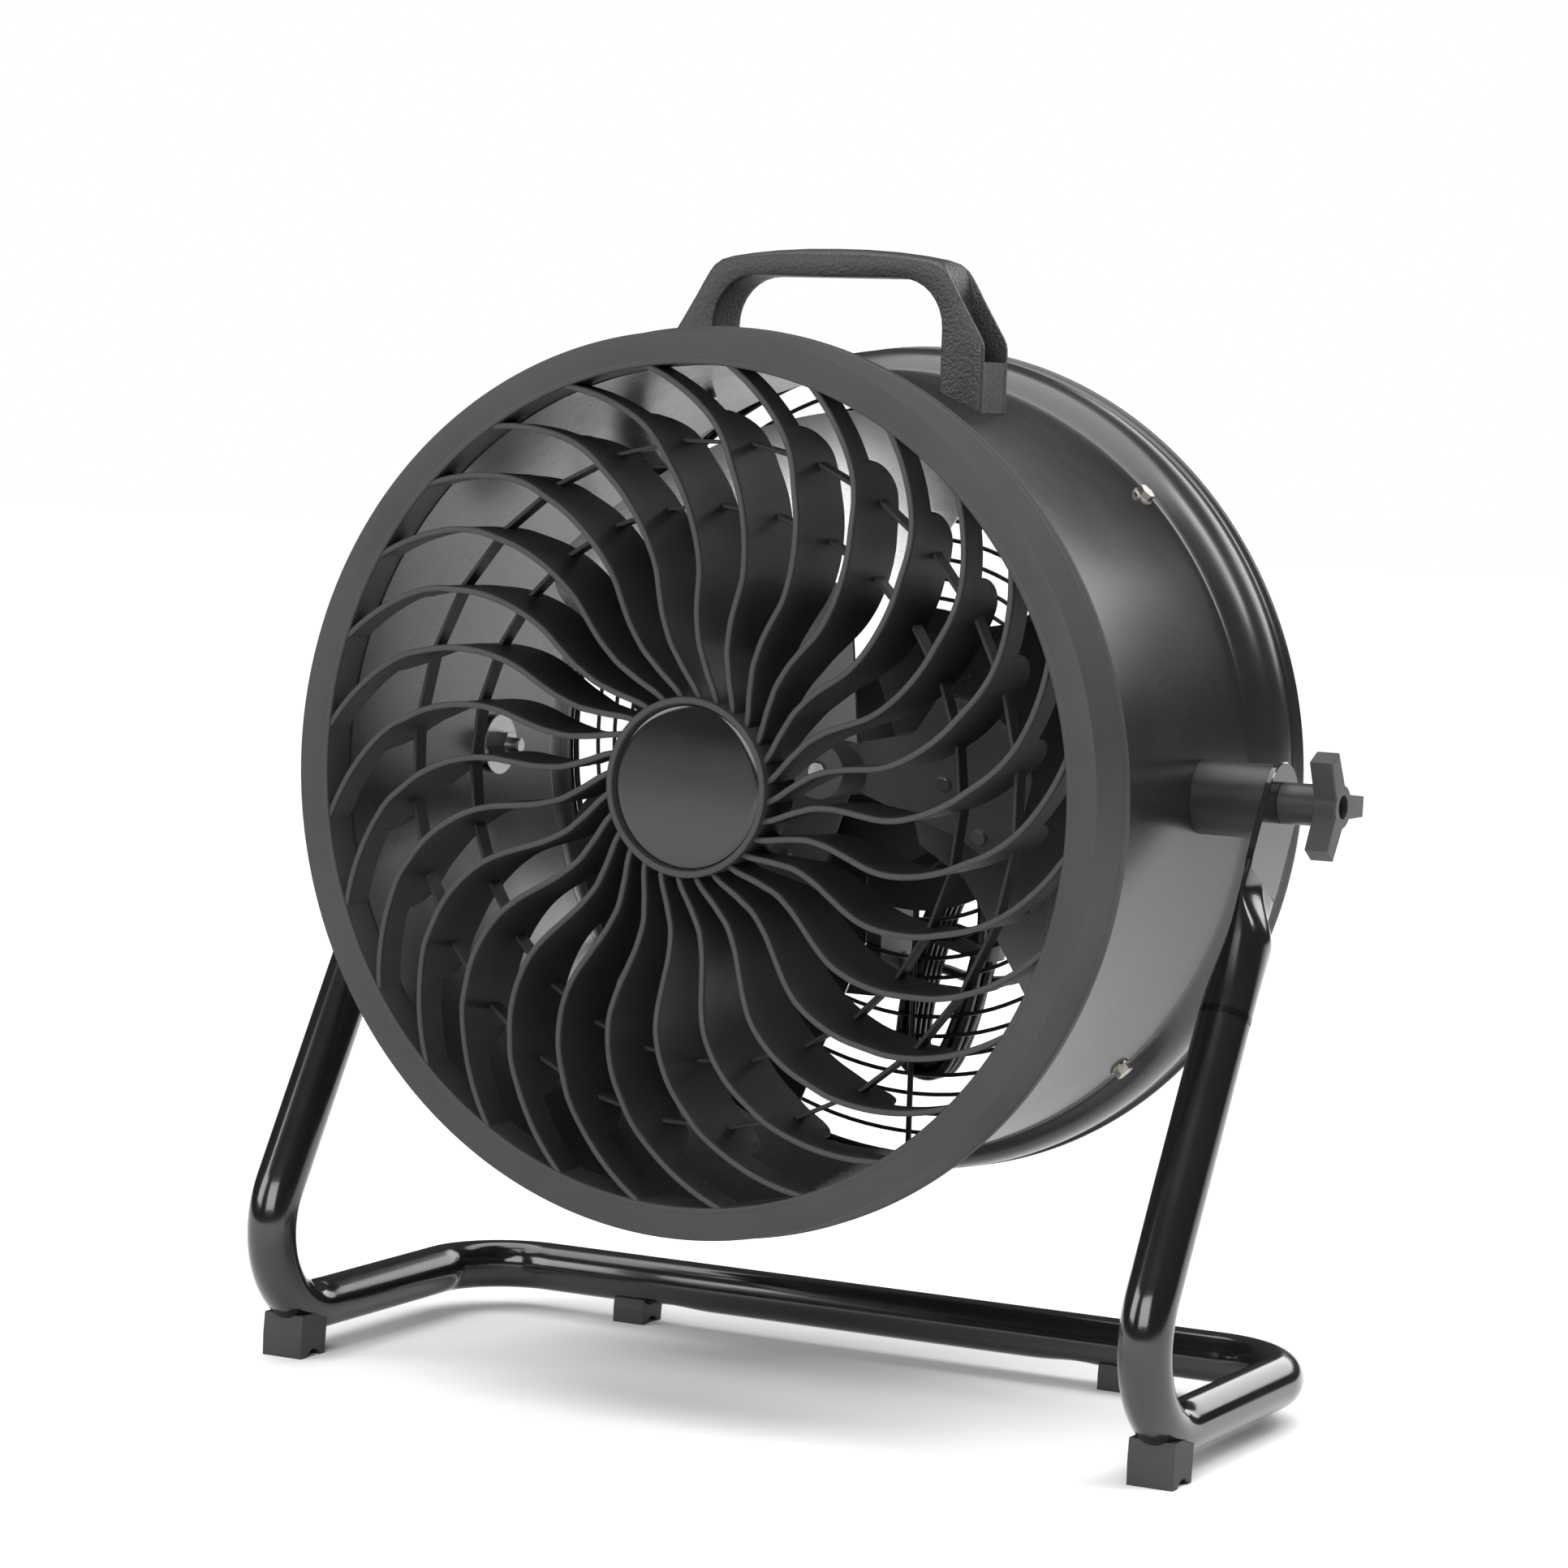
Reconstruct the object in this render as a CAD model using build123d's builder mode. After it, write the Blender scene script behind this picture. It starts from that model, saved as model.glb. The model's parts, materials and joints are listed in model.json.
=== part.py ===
"""Axial air mover: a drum fan whose head tilts between the legs of a bent-tube stand.

+Z is up, the air leaves towards -Y, and +X is at the right of someone facing the grille.
The origin is on the floor under the middle of the object's box. All sizes are millimetres.
"""
import os
from math import atan, cos, degrees, pi, radians, sin, sqrt, tan

from build123d import *

os.makedirs("parts", exist_ok=True)

# ---- driving dimensions -------------------------------------------------------------
AXIS_Z = 308.0          # height of the tilt axis and the fan axis above the floor
AXIS_Y = 3.25           # place of the tilt axis, so that the box is centred on Y = 0

TUBE_R = 12.7           # stand tube, one inch outside
TUBE_WALL = 1.5
LEG_X = 239.4           # centre planes of the two legs
LEG_SLOPE = 0.60        # forward travel of the leg for each millimetre down
BEND_R = 44.5           # centre-line radius of every bend
RUN_Z = 22.6            # centre height of the side runs and the crossbar
CROSSBAR_Y = 64.0       # behind the tilt axis
HANGER_X = 97.5         # the two holes of the crossbar
HANGER_HOLE_R = 2.75

PLATE_T = 3.4           # flattened ends of the legs
PLATE_HALF = 19.5
PLATE_FLAT = 46.0       # flat length below the pivot hole
PLATE_BLEND = 30.0      # from the flat end to the round tube
PIVOT_HOLE_R = 4.6

DRUM_R = 200.0          # outside of the drum
SHEET = 1.0
DRUM_FRONT = -137.5     # all Y distances of the head are from the tilt axis
STEP_Y = 55.0
RIM_R = 212.0
DRUM_BACK = 97.0

FACE_Y = -158.5         # front plane of the grille ring
RING_R = 214.8          # at the ring's front edge; it flares towards the drum
RING_BACK_R = 217.4
RING_INNER_R = 199.1
RING_BACK = -127.0
HUB_R = 43.0
HUB_FACE_Y = -155.0
VANE_COUNT = 28
VANE_REACH = 212.0
VANE_PHASE = 8.7
VANE_T = 2.6
RIB_RADII = (133.0, 164.0)

GUARD_PITCH = 10.2
GUARD_FIRST_R = 84.0
GUARD_RINGS = 12
GUARD_RADIALS = 6
WIRE_R = 1.1
SPOKE_R = 1.6

BLADE_COUNT = 3
BLADE_PHASE = 5.0
BLADE_TIP_R = 180.0
BLADE_T = 1.2
BLADE_PITCH = 23.0
BLADE_CAMBER_R = 390.0
BLADE_Y = 8.0

SHAFT_R = 5.0
MOTOR_R = 58.0
MOTOR_FRONT = 50.0
MOTOR_BACK = 94.0
MOUNT_PLATE_R = 79.0

SPACER_R = 18.0
STUD_R = 4.0
KNOB_FACE_X = 271.4
KNOB_DEPTH = 11.4       # of the three arms
KNOB_ARM = 26.8
KNOB_ARM_W = (12.8, 10.2)   # width of an arm at its root and at its tip
KNOB_TURN = 117.0       # direction of the first arm
KNOB_NECK_R = 10.0
KNOB_SOCKET_R = 5.8

HANDLE_FRONT = -27.0    # the handle's front and back faces, from the tilt axis
HANDLE_BACK = 3.0
HANDLE_HALF = 86.3
HANDLE_TOP = 258.8      # above the tilt axis

CORD_D = 5.6

PIVOT = Vector(0, AXIS_Y, AXIS_Z)


def head_plane(y):
    """Plane across the fan axis: its X is the object's X, its Y is up, its normal points forward."""
    return Plane(origin=(0, AXIS_Y + y, AXIS_Z), x_dir=(1, 0, 0), z_dir=(0, -1, 0))


def side_plane(x):
    """Plane square to X through the tilt axis: its X is the object's Y, its Y is up."""
    return Plane(origin=(x, AXIS_Y, AXIS_Z), x_dir=(0, 1, 0), z_dir=(1, 0, 0))


def revolve_plane():
    """Plane through the fan axis that holds radius as X and the forward direction as Y."""
    return Plane(origin=PIVOT, x_dir=(1, 0, 0), z_dir=(0, 0, 1))


FAN_AXIS = Axis(PIVOT, (0, 1, 0))


def save(piece, name):
    """Label a finished piece and write its file."""
    piece.part.label = name
    export_step(piece.part, f"parts/{name}.step")


def turned(profile):
    """A solid of revolution about the fan axis from (radius, y) corners."""
    with BuildPart() as made:
        with BuildSketch(revolve_plane()):
            with BuildLine():
                Polyline(*profile, close=True)
            make_face()
        revolve(axis=FAN_AXIS)
    return made


def bars(places, radius, from_y, to_y):
    """Round bars along the fan axis at (x, z) places of the head."""
    with BuildPart() as made:
        with BuildSketch(head_plane(from_y)):
            with Locations(*places):
                Circle(radius)
        extrude(amount=from_y - to_y)
    return made


def block(x_range, z_range, y_range, corner):
    """A block with rounded corners, given by its ranges from the pivot."""
    with BuildPart() as made:
        with BuildSketch(head_plane(y_range[0])):
            with Locations((sum(x_range) / 2, sum(z_range) / 2)):
                RectangleRounded(x_range[1] - x_range[0], z_range[1] - z_range[0], corner)
        extrude(amount=y_range[0] - y_range[1])
    return made


def side_disc(side, radius, from_x, to_x):
    """A disc about the tilt axis on one side of the head, between two distances from its middle."""
    with BuildPart() as made:
        with BuildSketch(side_plane(side * from_x)):
            Circle(radius)
        extrude(amount=side * (to_x - from_x))
    return made


# ---- stand --------------------------------------------------------------------------
PLATE_X = LEG_X - PLATE_T / 2   # inner face of each flattened end
leg_angle = degrees(atan(LEG_SLOPE))
leg_down = Vector(0, -LEG_SLOPE, -1).normalized()
round_start = PLATE_FLAT + PLATE_BLEND
corner_y = AXIS_Y - LEG_SLOPE * (AXIS_Z - RUN_Z)


def leg_point(side, distance):
    """A point on a leg's centre line, measured down from the pivot."""
    return Vector(side * LEG_X, AXIS_Y, AXIS_Z) + leg_down * distance


stand_route = [
    leg_point(-1, round_start),
    Vector(-LEG_X, corner_y, RUN_Z),
    Vector(-LEG_X, AXIS_Y + CROSSBAR_Y, RUN_Z),
    Vector(LEG_X, AXIS_Y + CROSSBAR_Y, RUN_Z),
    Vector(LEG_X, corner_y, RUN_Z),
    leg_point(1, round_start),
]

FRONT_FOOT_Y = -126.0           # front face of the front feet, from the tilt axis
FRONT_FOOT = (23.2, 23.0, 22.0)
REAR_FOOT_X = 141.0
REAR_FOOT = (18.0, 21.0, 15.0)
PEG_R = 3.0


def tube_body(radius):
    """The bent tube's route swept with a disc."""
    with BuildPart() as swept:
        with BuildLine() as line:
            FilletPolyline(*stand_route, radius=BEND_R)
        with BuildSketch(Plane(origin=stand_route[0], z_dir=leg_down)):
            Circle(radius)
        sweep(path=line.wires()[0])
    return swept


def leg_tip(side):
    """The flattened end of one leg with its pivot hole, and the blend into round tube."""
    middle = side * (PLATE_X + PLATE_T / 2)
    face = Plane(origin=(middle, AXIS_Y, AXIS_Z), x_dir=leg_down, z_dir=(1, 0, 0))
    flat_end = Plane(origin=Vector(middle, AXIS_Y, AXIS_Z) + leg_down * PLATE_FLAT,
                     x_dir=(1, 0, 0), z_dir=leg_down)
    round_end = Plane(origin=leg_point(side, round_start), x_dir=(1, 0, 0), z_dir=leg_down)
    with BuildPart() as tip:
        with BuildSketch(face):
            Circle(PLATE_HALF)
            with Locations((PLATE_FLAT / 2, 0)):
                Rectangle(PLATE_FLAT, 2 * PLATE_HALF)
        extrude(amount=PLATE_T / 2, both=True)
        with BuildSketch(flat_end):
            RectangleRounded(PLATE_T, 2 * PLATE_HALF, PLATE_T * 0.48)
        with BuildSketch(round_end):
            Circle(TUBE_R)
        loft()
        with BuildSketch(face):
            Circle(PIVOT_HOLE_R)
        extrude(amount=PLATE_T, both=True, mode=Mode.SUBTRACT)
    return tip


front_foot_places = [Vector(side * LEG_X, AXIS_Y + FRONT_FOOT_Y + FRONT_FOOT[1] / 2, 0) for side in (-1, 1)]
rear_foot_places = [Vector(side * REAR_FOOT_X, AXIS_Y + CROSSBAR_Y + 1, 0) for side in (-1, 1)]

outer_tube = tube_body(TUBE_R)
inner_tube = tube_body(TUBE_R - TUBE_WALL)
tips = [leg_tip(side) for side in (-1, 1)]

with BuildPart() as stand_tube:
    add(outer_tube.part)
    add(inner_tube.part, mode=Mode.SUBTRACT)
    for tip in tips:
        add(tip.part)
    with BuildSketch(Plane.XY):
        with Locations(*[(side * HANGER_X, AXIS_Y + CROSSBAR_Y) for side in (-1, 1)]):
            Circle(HANGER_HOLE_R)
    extrude(amount=2 * RUN_Z, mode=Mode.SUBTRACT)
    with BuildSketch(Plane.XY):
        with Locations(*[(place.X, place.Y) for place in front_foot_places + rear_foot_places]):
            Circle(PEG_R)
    extrude(amount=RUN_Z, mode=Mode.SUBTRACT)
save(stand_tube, "stand_tube")


def foot(place, size, name):
    """A moulded foot: a block with a saddle for the tube, an arch below and a peg into the tube."""
    width, length, height = size
    arch = length * 0.3
    with BuildPart() as block:
        with BuildSketch(Plane(origin=place, x_dir=(0, 1, 0), z_dir=(1, 0, 0))):
            with BuildLine():
                Polyline(
                    (-length / 2, 0),
                    (-length / 2, height * 0.5),
                    (-length / 2 + 1.2, height),
                    (length / 2 + 0.5, height),
                    (length / 2 - 1.5, 0),
                    close=True,
                )
            make_face()
            with Locations((0, -arch * 0.45)):
                Circle(arch, mode=Mode.SUBTRACT)
        extrude(amount=width / 2, both=True)
        add(outer_tube.part, mode=Mode.SUBTRACT)
        with BuildSketch(Plane(origin=place + Vector(0, 0, 4))):
            Circle(PEG_R)
        extrude(amount=RUN_Z - TUBE_R + 3)
    solids = block.part.solids().sort_by(SortBy.VOLUME)
    with BuildPart() as kept:
        add(solids[-1])
    save(kept, name)


for side_name, place in zip(("left", "right"), front_foot_places):
    foot(place, FRONT_FOOT, f"front_foot_{side_name}")
for side_name, place in zip(("left", "right"), rear_foot_places):
    foot(place, REAR_FOOT, f"rear_foot_{side_name}")

# ---- drum ---------------------------------------------------------------------------
SCREW_Y = 45.0
SCREW_ANGLES = (45.0, 135.0, 225.0, 315.0)
SCREW_R = 2.4
HANDLE_SCREW_X = 74.0
HANDLE_SCREW_Y = (HANDLE_FRONT + HANDLE_BACK) / 2


def handle_screw_plane(side, distance):
    """Plane square to one handle screw at a distance from the fan axis."""
    radial = Vector(side * HANDLE_SCREW_X, 0, sqrt(DRUM_R**2 - HANDLE_SCREW_X**2)).normalized()
    return Plane(origin=PIVOT + Vector(0, HANDLE_SCREW_Y, 0) + radial * distance, z_dir=radial)


inner_r = DRUM_R - SHEET
drum_profile = [
    (inner_r, DRUM_FRONT),
    (DRUM_R, DRUM_FRONT),
    (DRUM_R, STEP_Y),
    (RIM_R - 3, STEP_Y + 9),
    (RIM_R - 0.5, STEP_Y + 14),
    (RIM_R, STEP_Y + 24),
    (RIM_R - 1.5, STEP_Y + 32),
    (RIM_R - 1.5, DRUM_BACK - 5),
    (RIM_R + 1, DRUM_BACK - 3),
    (RIM_R + 1, DRUM_BACK),
    (RIM_R - 2.5, DRUM_BACK),
    (RIM_R - 2.5, STEP_Y + 32),
    (RIM_R - 1, STEP_Y + 24),
    (RIM_R - 1.5, STEP_Y + 14),
    (RIM_R - 4, STEP_Y + 10),
    (inner_r, STEP_Y + 1),
]

with BuildPart() as drum:
    add(turned(drum_profile).part)
    for angle in SCREW_ANGLES:
        radial = Vector(cos(radians(angle)), 0, sin(radians(angle)))
        with BuildSketch(Plane(origin=PIVOT + Vector(0, SCREW_Y, 0) + radial * (DRUM_R - 6), z_dir=radial)):
            Circle(SCREW_R)
        extrude(amount=12, mode=Mode.SUBTRACT)
    with BuildSketch(side_plane(0)):
        Circle(STUD_R + 0.4)
    extrude(amount=DRUM_R + 5, both=True, mode=Mode.SUBTRACT)
    for side in (-1, 1):
        with BuildSketch(handle_screw_plane(side, DRUM_R - 6)):
            Circle(SCREW_R)
        extrude(amount=12, mode=Mode.SUBTRACT)
save(drum, "drum")

# ---- front grille -------------------------------------------------------------------
# Sweep of a vane about the axis, as (share of VANE_REACH, degrees), counter-clockwise seen
# from the front.
VANE_CURVE = [
    (0.196, -2.6),
    (0.259, 7.2),
    (0.328, 12.6),
    (0.400, 13.6),
    (0.490, 12.9),
    (0.584, 14.6),
    (0.677, 18.3),
    (0.793, 24.7),
    (0.886, 32.0),
    (0.945, 37.7),
]
VANE_FRONT = -157.0     # front edges, between the ring's face and the hub's
VANE_DEPTH = 42.0
VANE_END_DEPTH = 19.0
NOTCH_R = 178.0
HUB_DEPTH = 30.0


def polar(radius, angle):
    """A point of a head plane from polar coordinates in millimetres and degrees."""
    return (radius * cos(radians(angle)), radius * sin(radians(angle)))


def vane_side(offset):
    """One side of a vane's front view, shifted square to the radius by an offset."""
    points = []
    for share, angle in VANE_CURVE:
        radius = share * VANE_REACH
        points.append(polar(radius, angle + degrees(offset / radius)))
    return points


with BuildPart() as vane:
    with BuildSketch(head_plane(VANE_FRONT)) as vane_view:
        with BuildLine():
            first = Spline(*vane_side(-VANE_T / 2))
            second = Spline(*vane_side(VANE_T / 2))
            Line(first @ 0, second @ 0)
            Line(first @ 1, second @ 1)
        make_face()
    extrude(amount=-VANE_END_DEPTH)
    with BuildSketch(head_plane(VANE_FRONT - 1 + VANE_END_DEPTH)):
        add(vane_view.sketch_local)
        Circle(NOTCH_R, mode=Mode.INTERSECT)
    extrude(amount=-(VANE_DEPTH - VANE_END_DEPTH))

ring_profile = [
    (RING_INNER_R, FACE_Y + 0.6),
    (RING_INNER_R + 0.6, FACE_Y),
    (RING_R - 0.8, FACE_Y),
    (RING_R, FACE_Y + 0.8),
    (RING_BACK_R, RING_BACK),
    (RING_BACK_R - 2.4, RING_BACK),
    (RING_R - 2.4, FACE_Y + 3.5),
    (RING_INNER_R + 2.4, FACE_Y + 3.5),
    (RING_INNER_R + 2.4, DRUM_FRONT),
    (RING_INNER_R, DRUM_FRONT),
]
hub_profile = [
    (0, HUB_FACE_Y + 2.5),
    (HUB_R - 3.5, HUB_FACE_Y + 2.5),
    (HUB_R - 3.2, HUB_FACE_Y),
    (HUB_R - 0.6, HUB_FACE_Y),
    (HUB_R, HUB_FACE_Y + 0.8),
    (HUB_R, HUB_FACE_Y + HUB_DEPTH),
    (HUB_R - 2.4, HUB_FACE_Y + HUB_DEPTH),
    (HUB_R - 2.4, HUB_FACE_Y + 5),
    (0, HUB_FACE_Y + 5),
]
grille_ring = turned(ring_profile)
grille_hub = turned(hub_profile)

with BuildPart() as front_grille:
    add(grille_ring.part)
    add(grille_hub.part)
    for index in range(VANE_COUNT):
        add(vane.part.rotate(FAN_AXIS, -(VANE_PHASE + index * 360 / VANE_COUNT)))
    for radius in RIB_RADII:
        add(turned([
            (radius - 0.9, FACE_Y + 25),
            (radius + 0.9, FACE_Y + 25),
            (radius + 0.9, FACE_Y + 34),
            (radius - 0.9, FACE_Y + 34),
        ]).part)
save(front_grille, "front_grille")

BADGE_R = HUB_R - 3.8
with BuildPart() as hub_badge:
    with BuildSketch(head_plane(HUB_FACE_Y + 2.5)):
        Circle(BADGE_R)
    extrude(amount=1.6)
    fillet(hub_badge.edges().group_by(Axis.Y)[0], 0.8)
save(hub_badge, "hub_badge")

# ---- rear guard and motor bracket ---------------------------------------------------
PLATE_BACK = MOTOR_BACK + 2.0
SPOKE_Y = PLATE_BACK + SPOKE_R
GUARD_Y = SPOKE_Y + SPOKE_R + WIRE_R - 0.3
GUARD_EDGE_R = RIM_R - 2.5 - SPOKE_R
SPOKE_INNER_R = MOUNT_PLATE_R - 14

with BuildPart() as rear_guard:
    for index in range(GUARD_RINGS):
        radius = GUARD_FIRST_R + index * GUARD_PITCH
        with BuildSketch(revolve_plane()):
            with Locations((radius, GUARD_Y)):
                Circle(WIRE_R)
        revolve(axis=FAN_AXIS)
    for index in range(GUARD_RADIALS):
        angle = radians(30 + index * 360 / GUARD_RADIALS)
        radial = Vector(cos(angle), 0, sin(angle))
        start = PIVOT + Vector(0, SPOKE_Y, 0) + radial * SPOKE_INNER_R
        with BuildSketch(Plane(origin=start, z_dir=radial)):
            Circle(SPOKE_R)
        extrude(amount=GUARD_EDGE_R - SPOKE_INNER_R)
    with BuildSketch(revolve_plane()):
        with Locations((GUARD_EDGE_R, SPOKE_Y - 1)):
            Circle(SPOKE_R)
    revolve(axis=FAN_AXIS)
save(rear_guard, "rear_guard")

ARM_W = 20.0
ARM_T = 2.0
ARM_REACH = sqrt(inner_r**2 - (ARM_W / 2)**2) - 0.02
MOTOR_SCREW_R = 44.0
MOTOR_SCREW_ANGLES = (0.0, 90.0, 180.0, 270.0)
MOTOR_SCREW_SHANK = 2.0
MOTOR_SCREW_PAD = 7.0
BOX_BOSSES = ((-38.0, -54.0), (-54.0, -50.0))
BOX_SCREW_R = 1.6

with BuildPart() as motor_bracket:
    with BuildSketch(head_plane(PLATE_BACK)):
        Circle(MOUNT_PLATE_R)
        with Locations(*[polar(MOTOR_SCREW_R, angle) for angle in MOTOR_SCREW_ANGLES]):
            Circle(MOTOR_SCREW_SHANK, mode=Mode.SUBTRACT)
    extrude(amount=PLATE_BACK - MOTOR_BACK)
    for angle in SCREW_ANGLES:
        radial = Vector(cos(radians(angle)), 0, sin(radians(angle)))
        across = Vector(-sin(radians(angle)), 0, cos(radians(angle)))
        with BuildSketch(Plane(origin=PIVOT, x_dir=radial, z_dir=across)):
            with BuildLine():
                Polyline(
                    (MOUNT_PLATE_R - 12, PLATE_BACK),
                    (MOUNT_PLATE_R - 12, MOTOR_BACK),
                    (ARM_REACH - ARM_T, STEP_Y - 1),
                    (ARM_REACH - ARM_T, SCREW_Y - 8),
                    (ARM_REACH, SCREW_Y - 8),
                    (ARM_REACH, STEP_Y),
                    (MOUNT_PLATE_R - 8, PLATE_BACK),
                    close=True,
                )
            make_face()
        extrude(amount=ARM_W / 2, both=True)
        with BuildSketch(Plane(origin=PIVOT + Vector(0, SCREW_Y, 0) + radial * 180, z_dir=radial)):
            Circle(SCREW_R)
        extrude(amount=25, mode=Mode.SUBTRACT)
    add(bars(BOX_BOSSES, BOX_SCREW_R, MOTOR_BACK - 8, PLATE_BACK + 1).part, mode=Mode.SUBTRACT)
save(motor_bracket, "motor_bracket")

# ---- fan ----------------------------------------------------------------------------
RIVET_PLACES = ((56.0, -9.0), (76.0, 19.0), (78.0, -28.0), (94.0, 0.0))
RIVET_R = 2.4
RIVET_HEAD_R = 4.6
SPIDER_T = 2.0
SPIDER_TIP_R = 104.0
HUB_SLEEVE_R = 14.0
HUB_SLEEVE_FRONT = -19.0
HUB_SLEEVE_BACK = 26.0
SHAFT_FRONT = -21.0
SHAFT_BACK = 91.0


def camber_offset(across):
    """How far behind BLADE_Y the blade's front face lies, at a distance square to the radius."""
    tilt = radians(BLADE_PITCH)
    from_middle = across + BLADE_CAMBER_R * sin(tilt)
    return sqrt(BLADE_CAMBER_R**2 - from_middle**2) - BLADE_CAMBER_R * cos(tilt)


def camber_sheet(from_r, to_r, front, thickness):
    """A sheet bent about a line along +X, wide enough for a blade, between two distances from the axis."""
    with BuildPart() as sheet:
        with BuildSketch(Plane(origin=PIVOT + Vector(from_r, 0, 0), x_dir=(0, 1, 0), z_dir=(1, 0, 0))):
            with BuildLine():
                near = [(BLADE_Y + camber_offset(t) + front, t) for t in (-175, 0, 100)]
                far = [(y + thickness, t) for y, t in near]
                ThreePointArc(*near)
                ThreePointArc(*far)
                Line(near[0], far[0])
                Line(near[2], far[2])
            make_face()
        extrude(amount=to_r - from_r)
    return sheet


with BuildPart() as blade_view:
    with BuildSketch(head_plane(-80)) as blade_outline:
        with BuildLine():
            Polyline((34, 46), (60, 66), (BLADE_TIP_R, 74), (BLADE_TIP_R, -170), (94, -160),
                     (82, -118), (56, -58), (34, -40), close=True)
        make_face()
        Circle(BLADE_TIP_R, mode=Mode.INTERSECT)
        fillet(blade_outline.vertices().sort_by_distance((0, 0))[-2:], 22)
    extrude(amount=-200)

with BuildPart() as spider_view:
    with BuildSketch(head_plane(-80)) as spider_outline:
        with BuildLine():
            Polyline((6, 12), (46, 17), (66, 36), (88, 30), (SPIDER_TIP_R, 9), (SPIDER_TIP_R, -9),
                     (92, -34), (74, -50), (56, -36), (6, -12), close=True)
        make_face()
        fillet(spider_outline.vertices().sort_by_distance((0, 0))[2:], 6)
    extrude(amount=-200)


def rivet_plane(place):
    """Plane on the front of the spider plate, square to it, at a rivet of the first blade."""
    radius, angle = place
    along, across = polar(radius, angle)
    slope = (camber_offset(across + 0.5) - camber_offset(across - 0.5))
    point = PIVOT + Vector(along, BLADE_Y + camber_offset(across) - SPIDER_T, across)
    return Plane(origin=point, x_dir=(1, 0, 0), z_dir=(0, -1, slope))


def rivet_cut(place):
    """The hole of one rivet through the spider plate and the blade."""
    with BuildPart() as made:
        with BuildSketch(rivet_plane(place)):
            Circle(RIVET_R)
        extrude(amount=8, both=True)
    return made


def rivet(place):
    """One rivet of the first blade, its heads just clear of the bent sheet."""
    grip = SPIDER_T + BLADE_T
    front = rivet_plane(place)
    with BuildPart() as made:
        with BuildSketch(front):
            Circle(RIVET_R)
        extrude(amount=0.1)
        with BuildSketch(front):
            Circle(RIVET_R)
        extrude(amount=-grip - 0.1)
        with BuildSketch(front.offset(0.08)):
            Circle(RIVET_HEAD_R)
        extrude(amount=1.7, taper=30)
        with BuildSketch(front.offset(-grip - 0.08)):
            Circle(RIVET_HEAD_R)
        extrude(amount=-1.2, taper=30)
    return made


rivet_cuts = [rivet_cut(place) for place in RIVET_PLACES]
first_rivets = [rivet(place) for place in RIVET_PLACES]
blade_sheet = camber_sheet(30, BLADE_TIP_R + 5, 0, BLADE_T)
spider_sheet = camber_sheet(0, SPIDER_TIP_R + 5, -SPIDER_T, SPIDER_T)

with BuildPart() as first_blade:
    add(blade_sheet.part)
    add(blade_view.part, mode=Mode.INTERSECT)
    for cut in rivet_cuts:
        add(cut.part, mode=Mode.SUBTRACT)

with BuildPart() as first_spider:
    add(spider_sheet.part)
    add(spider_view.part, mode=Mode.INTERSECT)
    for cut in rivet_cuts:
        add(cut.part, mode=Mode.SUBTRACT)

blade_turns = [-(BLADE_PHASE + index * 360 / BLADE_COUNT) for index in range(BLADE_COUNT)]

for number, turn in enumerate(blade_turns, 1):
    with BuildPart() as fan_blade:
        add(first_blade.part.rotate(FAN_AXIS, turn))
    save(fan_blade, f"fan_blade_{number}")

with BuildPart() as blade_rivets:
    for turn in blade_turns:
        for made in first_rivets:
            add(made.part.rotate(FAN_AXIS, turn))
save(blade_rivets, "blade_rivets")

SET_SCREW_Y = -12.0
set_screw_plane = Plane(origin=PIVOT + Vector(0, SET_SCREW_Y, SHAFT_R), x_dir=(1, 0, 0), z_dir=(0, 0, 1))

with BuildPart() as fan_hub:
    add(bars([(0, 0)], HUB_SLEEVE_R, HUB_SLEEVE_FRONT, HUB_SLEEVE_BACK).part)
    for turn in blade_turns:
        add(first_spider.part.rotate(FAN_AXIS, turn))
    add(bars([(0, 0)], SHAFT_R, HUB_SLEEVE_FRONT - 5, HUB_SLEEVE_BACK + 5).part, mode=Mode.SUBTRACT)
    with BuildSketch(set_screw_plane):
        Circle(SCREW_R)
    extrude(amount=HUB_SLEEVE_R, mode=Mode.SUBTRACT)
save(fan_hub, "fan_hub")

with BuildPart() as hub_set_screw:
    with BuildSketch(set_screw_plane):
        Circle(SCREW_R)
    extrude(amount=HUB_SLEEVE_R - SHAFT_R + 1.5)
    with BuildSketch(set_screw_plane.offset(HUB_SLEEVE_R - SHAFT_R - 1)):
        RegularPolygon(1.25, 6, major_radius=False)
    extrude(amount=4, mode=Mode.SUBTRACT)
save(hub_set_screw, "hub_set_screw")

with BuildPart() as rotor_shaft:
    add(bars([(0, 0)], SHAFT_R, SHAFT_FRONT, SHAFT_BACK).part)
    chamfer(rotor_shaft.edges().filter_by(GeomType.CIRCLE), 0.6)
save(rotor_shaft, "rotor_shaft")

# ---- motor --------------------------------------------------------------------------
STATOR_FRONT = 66.0
STATOR_BACK = 78.0
STATOR_BORE_R = 31.0
ROTOR_R = 30.6
ROTOR_FRONT = 64.0
ROTOR_BACK = 80.0
WINDING_R = (34.0, 46.0)
WINDING_REACH = 7.0
CASE_T = 2.0
BEARING_R = 13.0
BEARING_W = 8.0
BEARING_GAP = 0.05      # running clearance between the shaft and each bearing
MOTOR_BOLT_R = 2.0
MOTOR_BOLTS = [polar(51.5, angle) for angle in SCREW_ANGLES]
MOTOR_SCREWS = [polar(MOTOR_SCREW_R, angle) for angle in MOTOR_SCREW_ANGLES]


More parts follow.
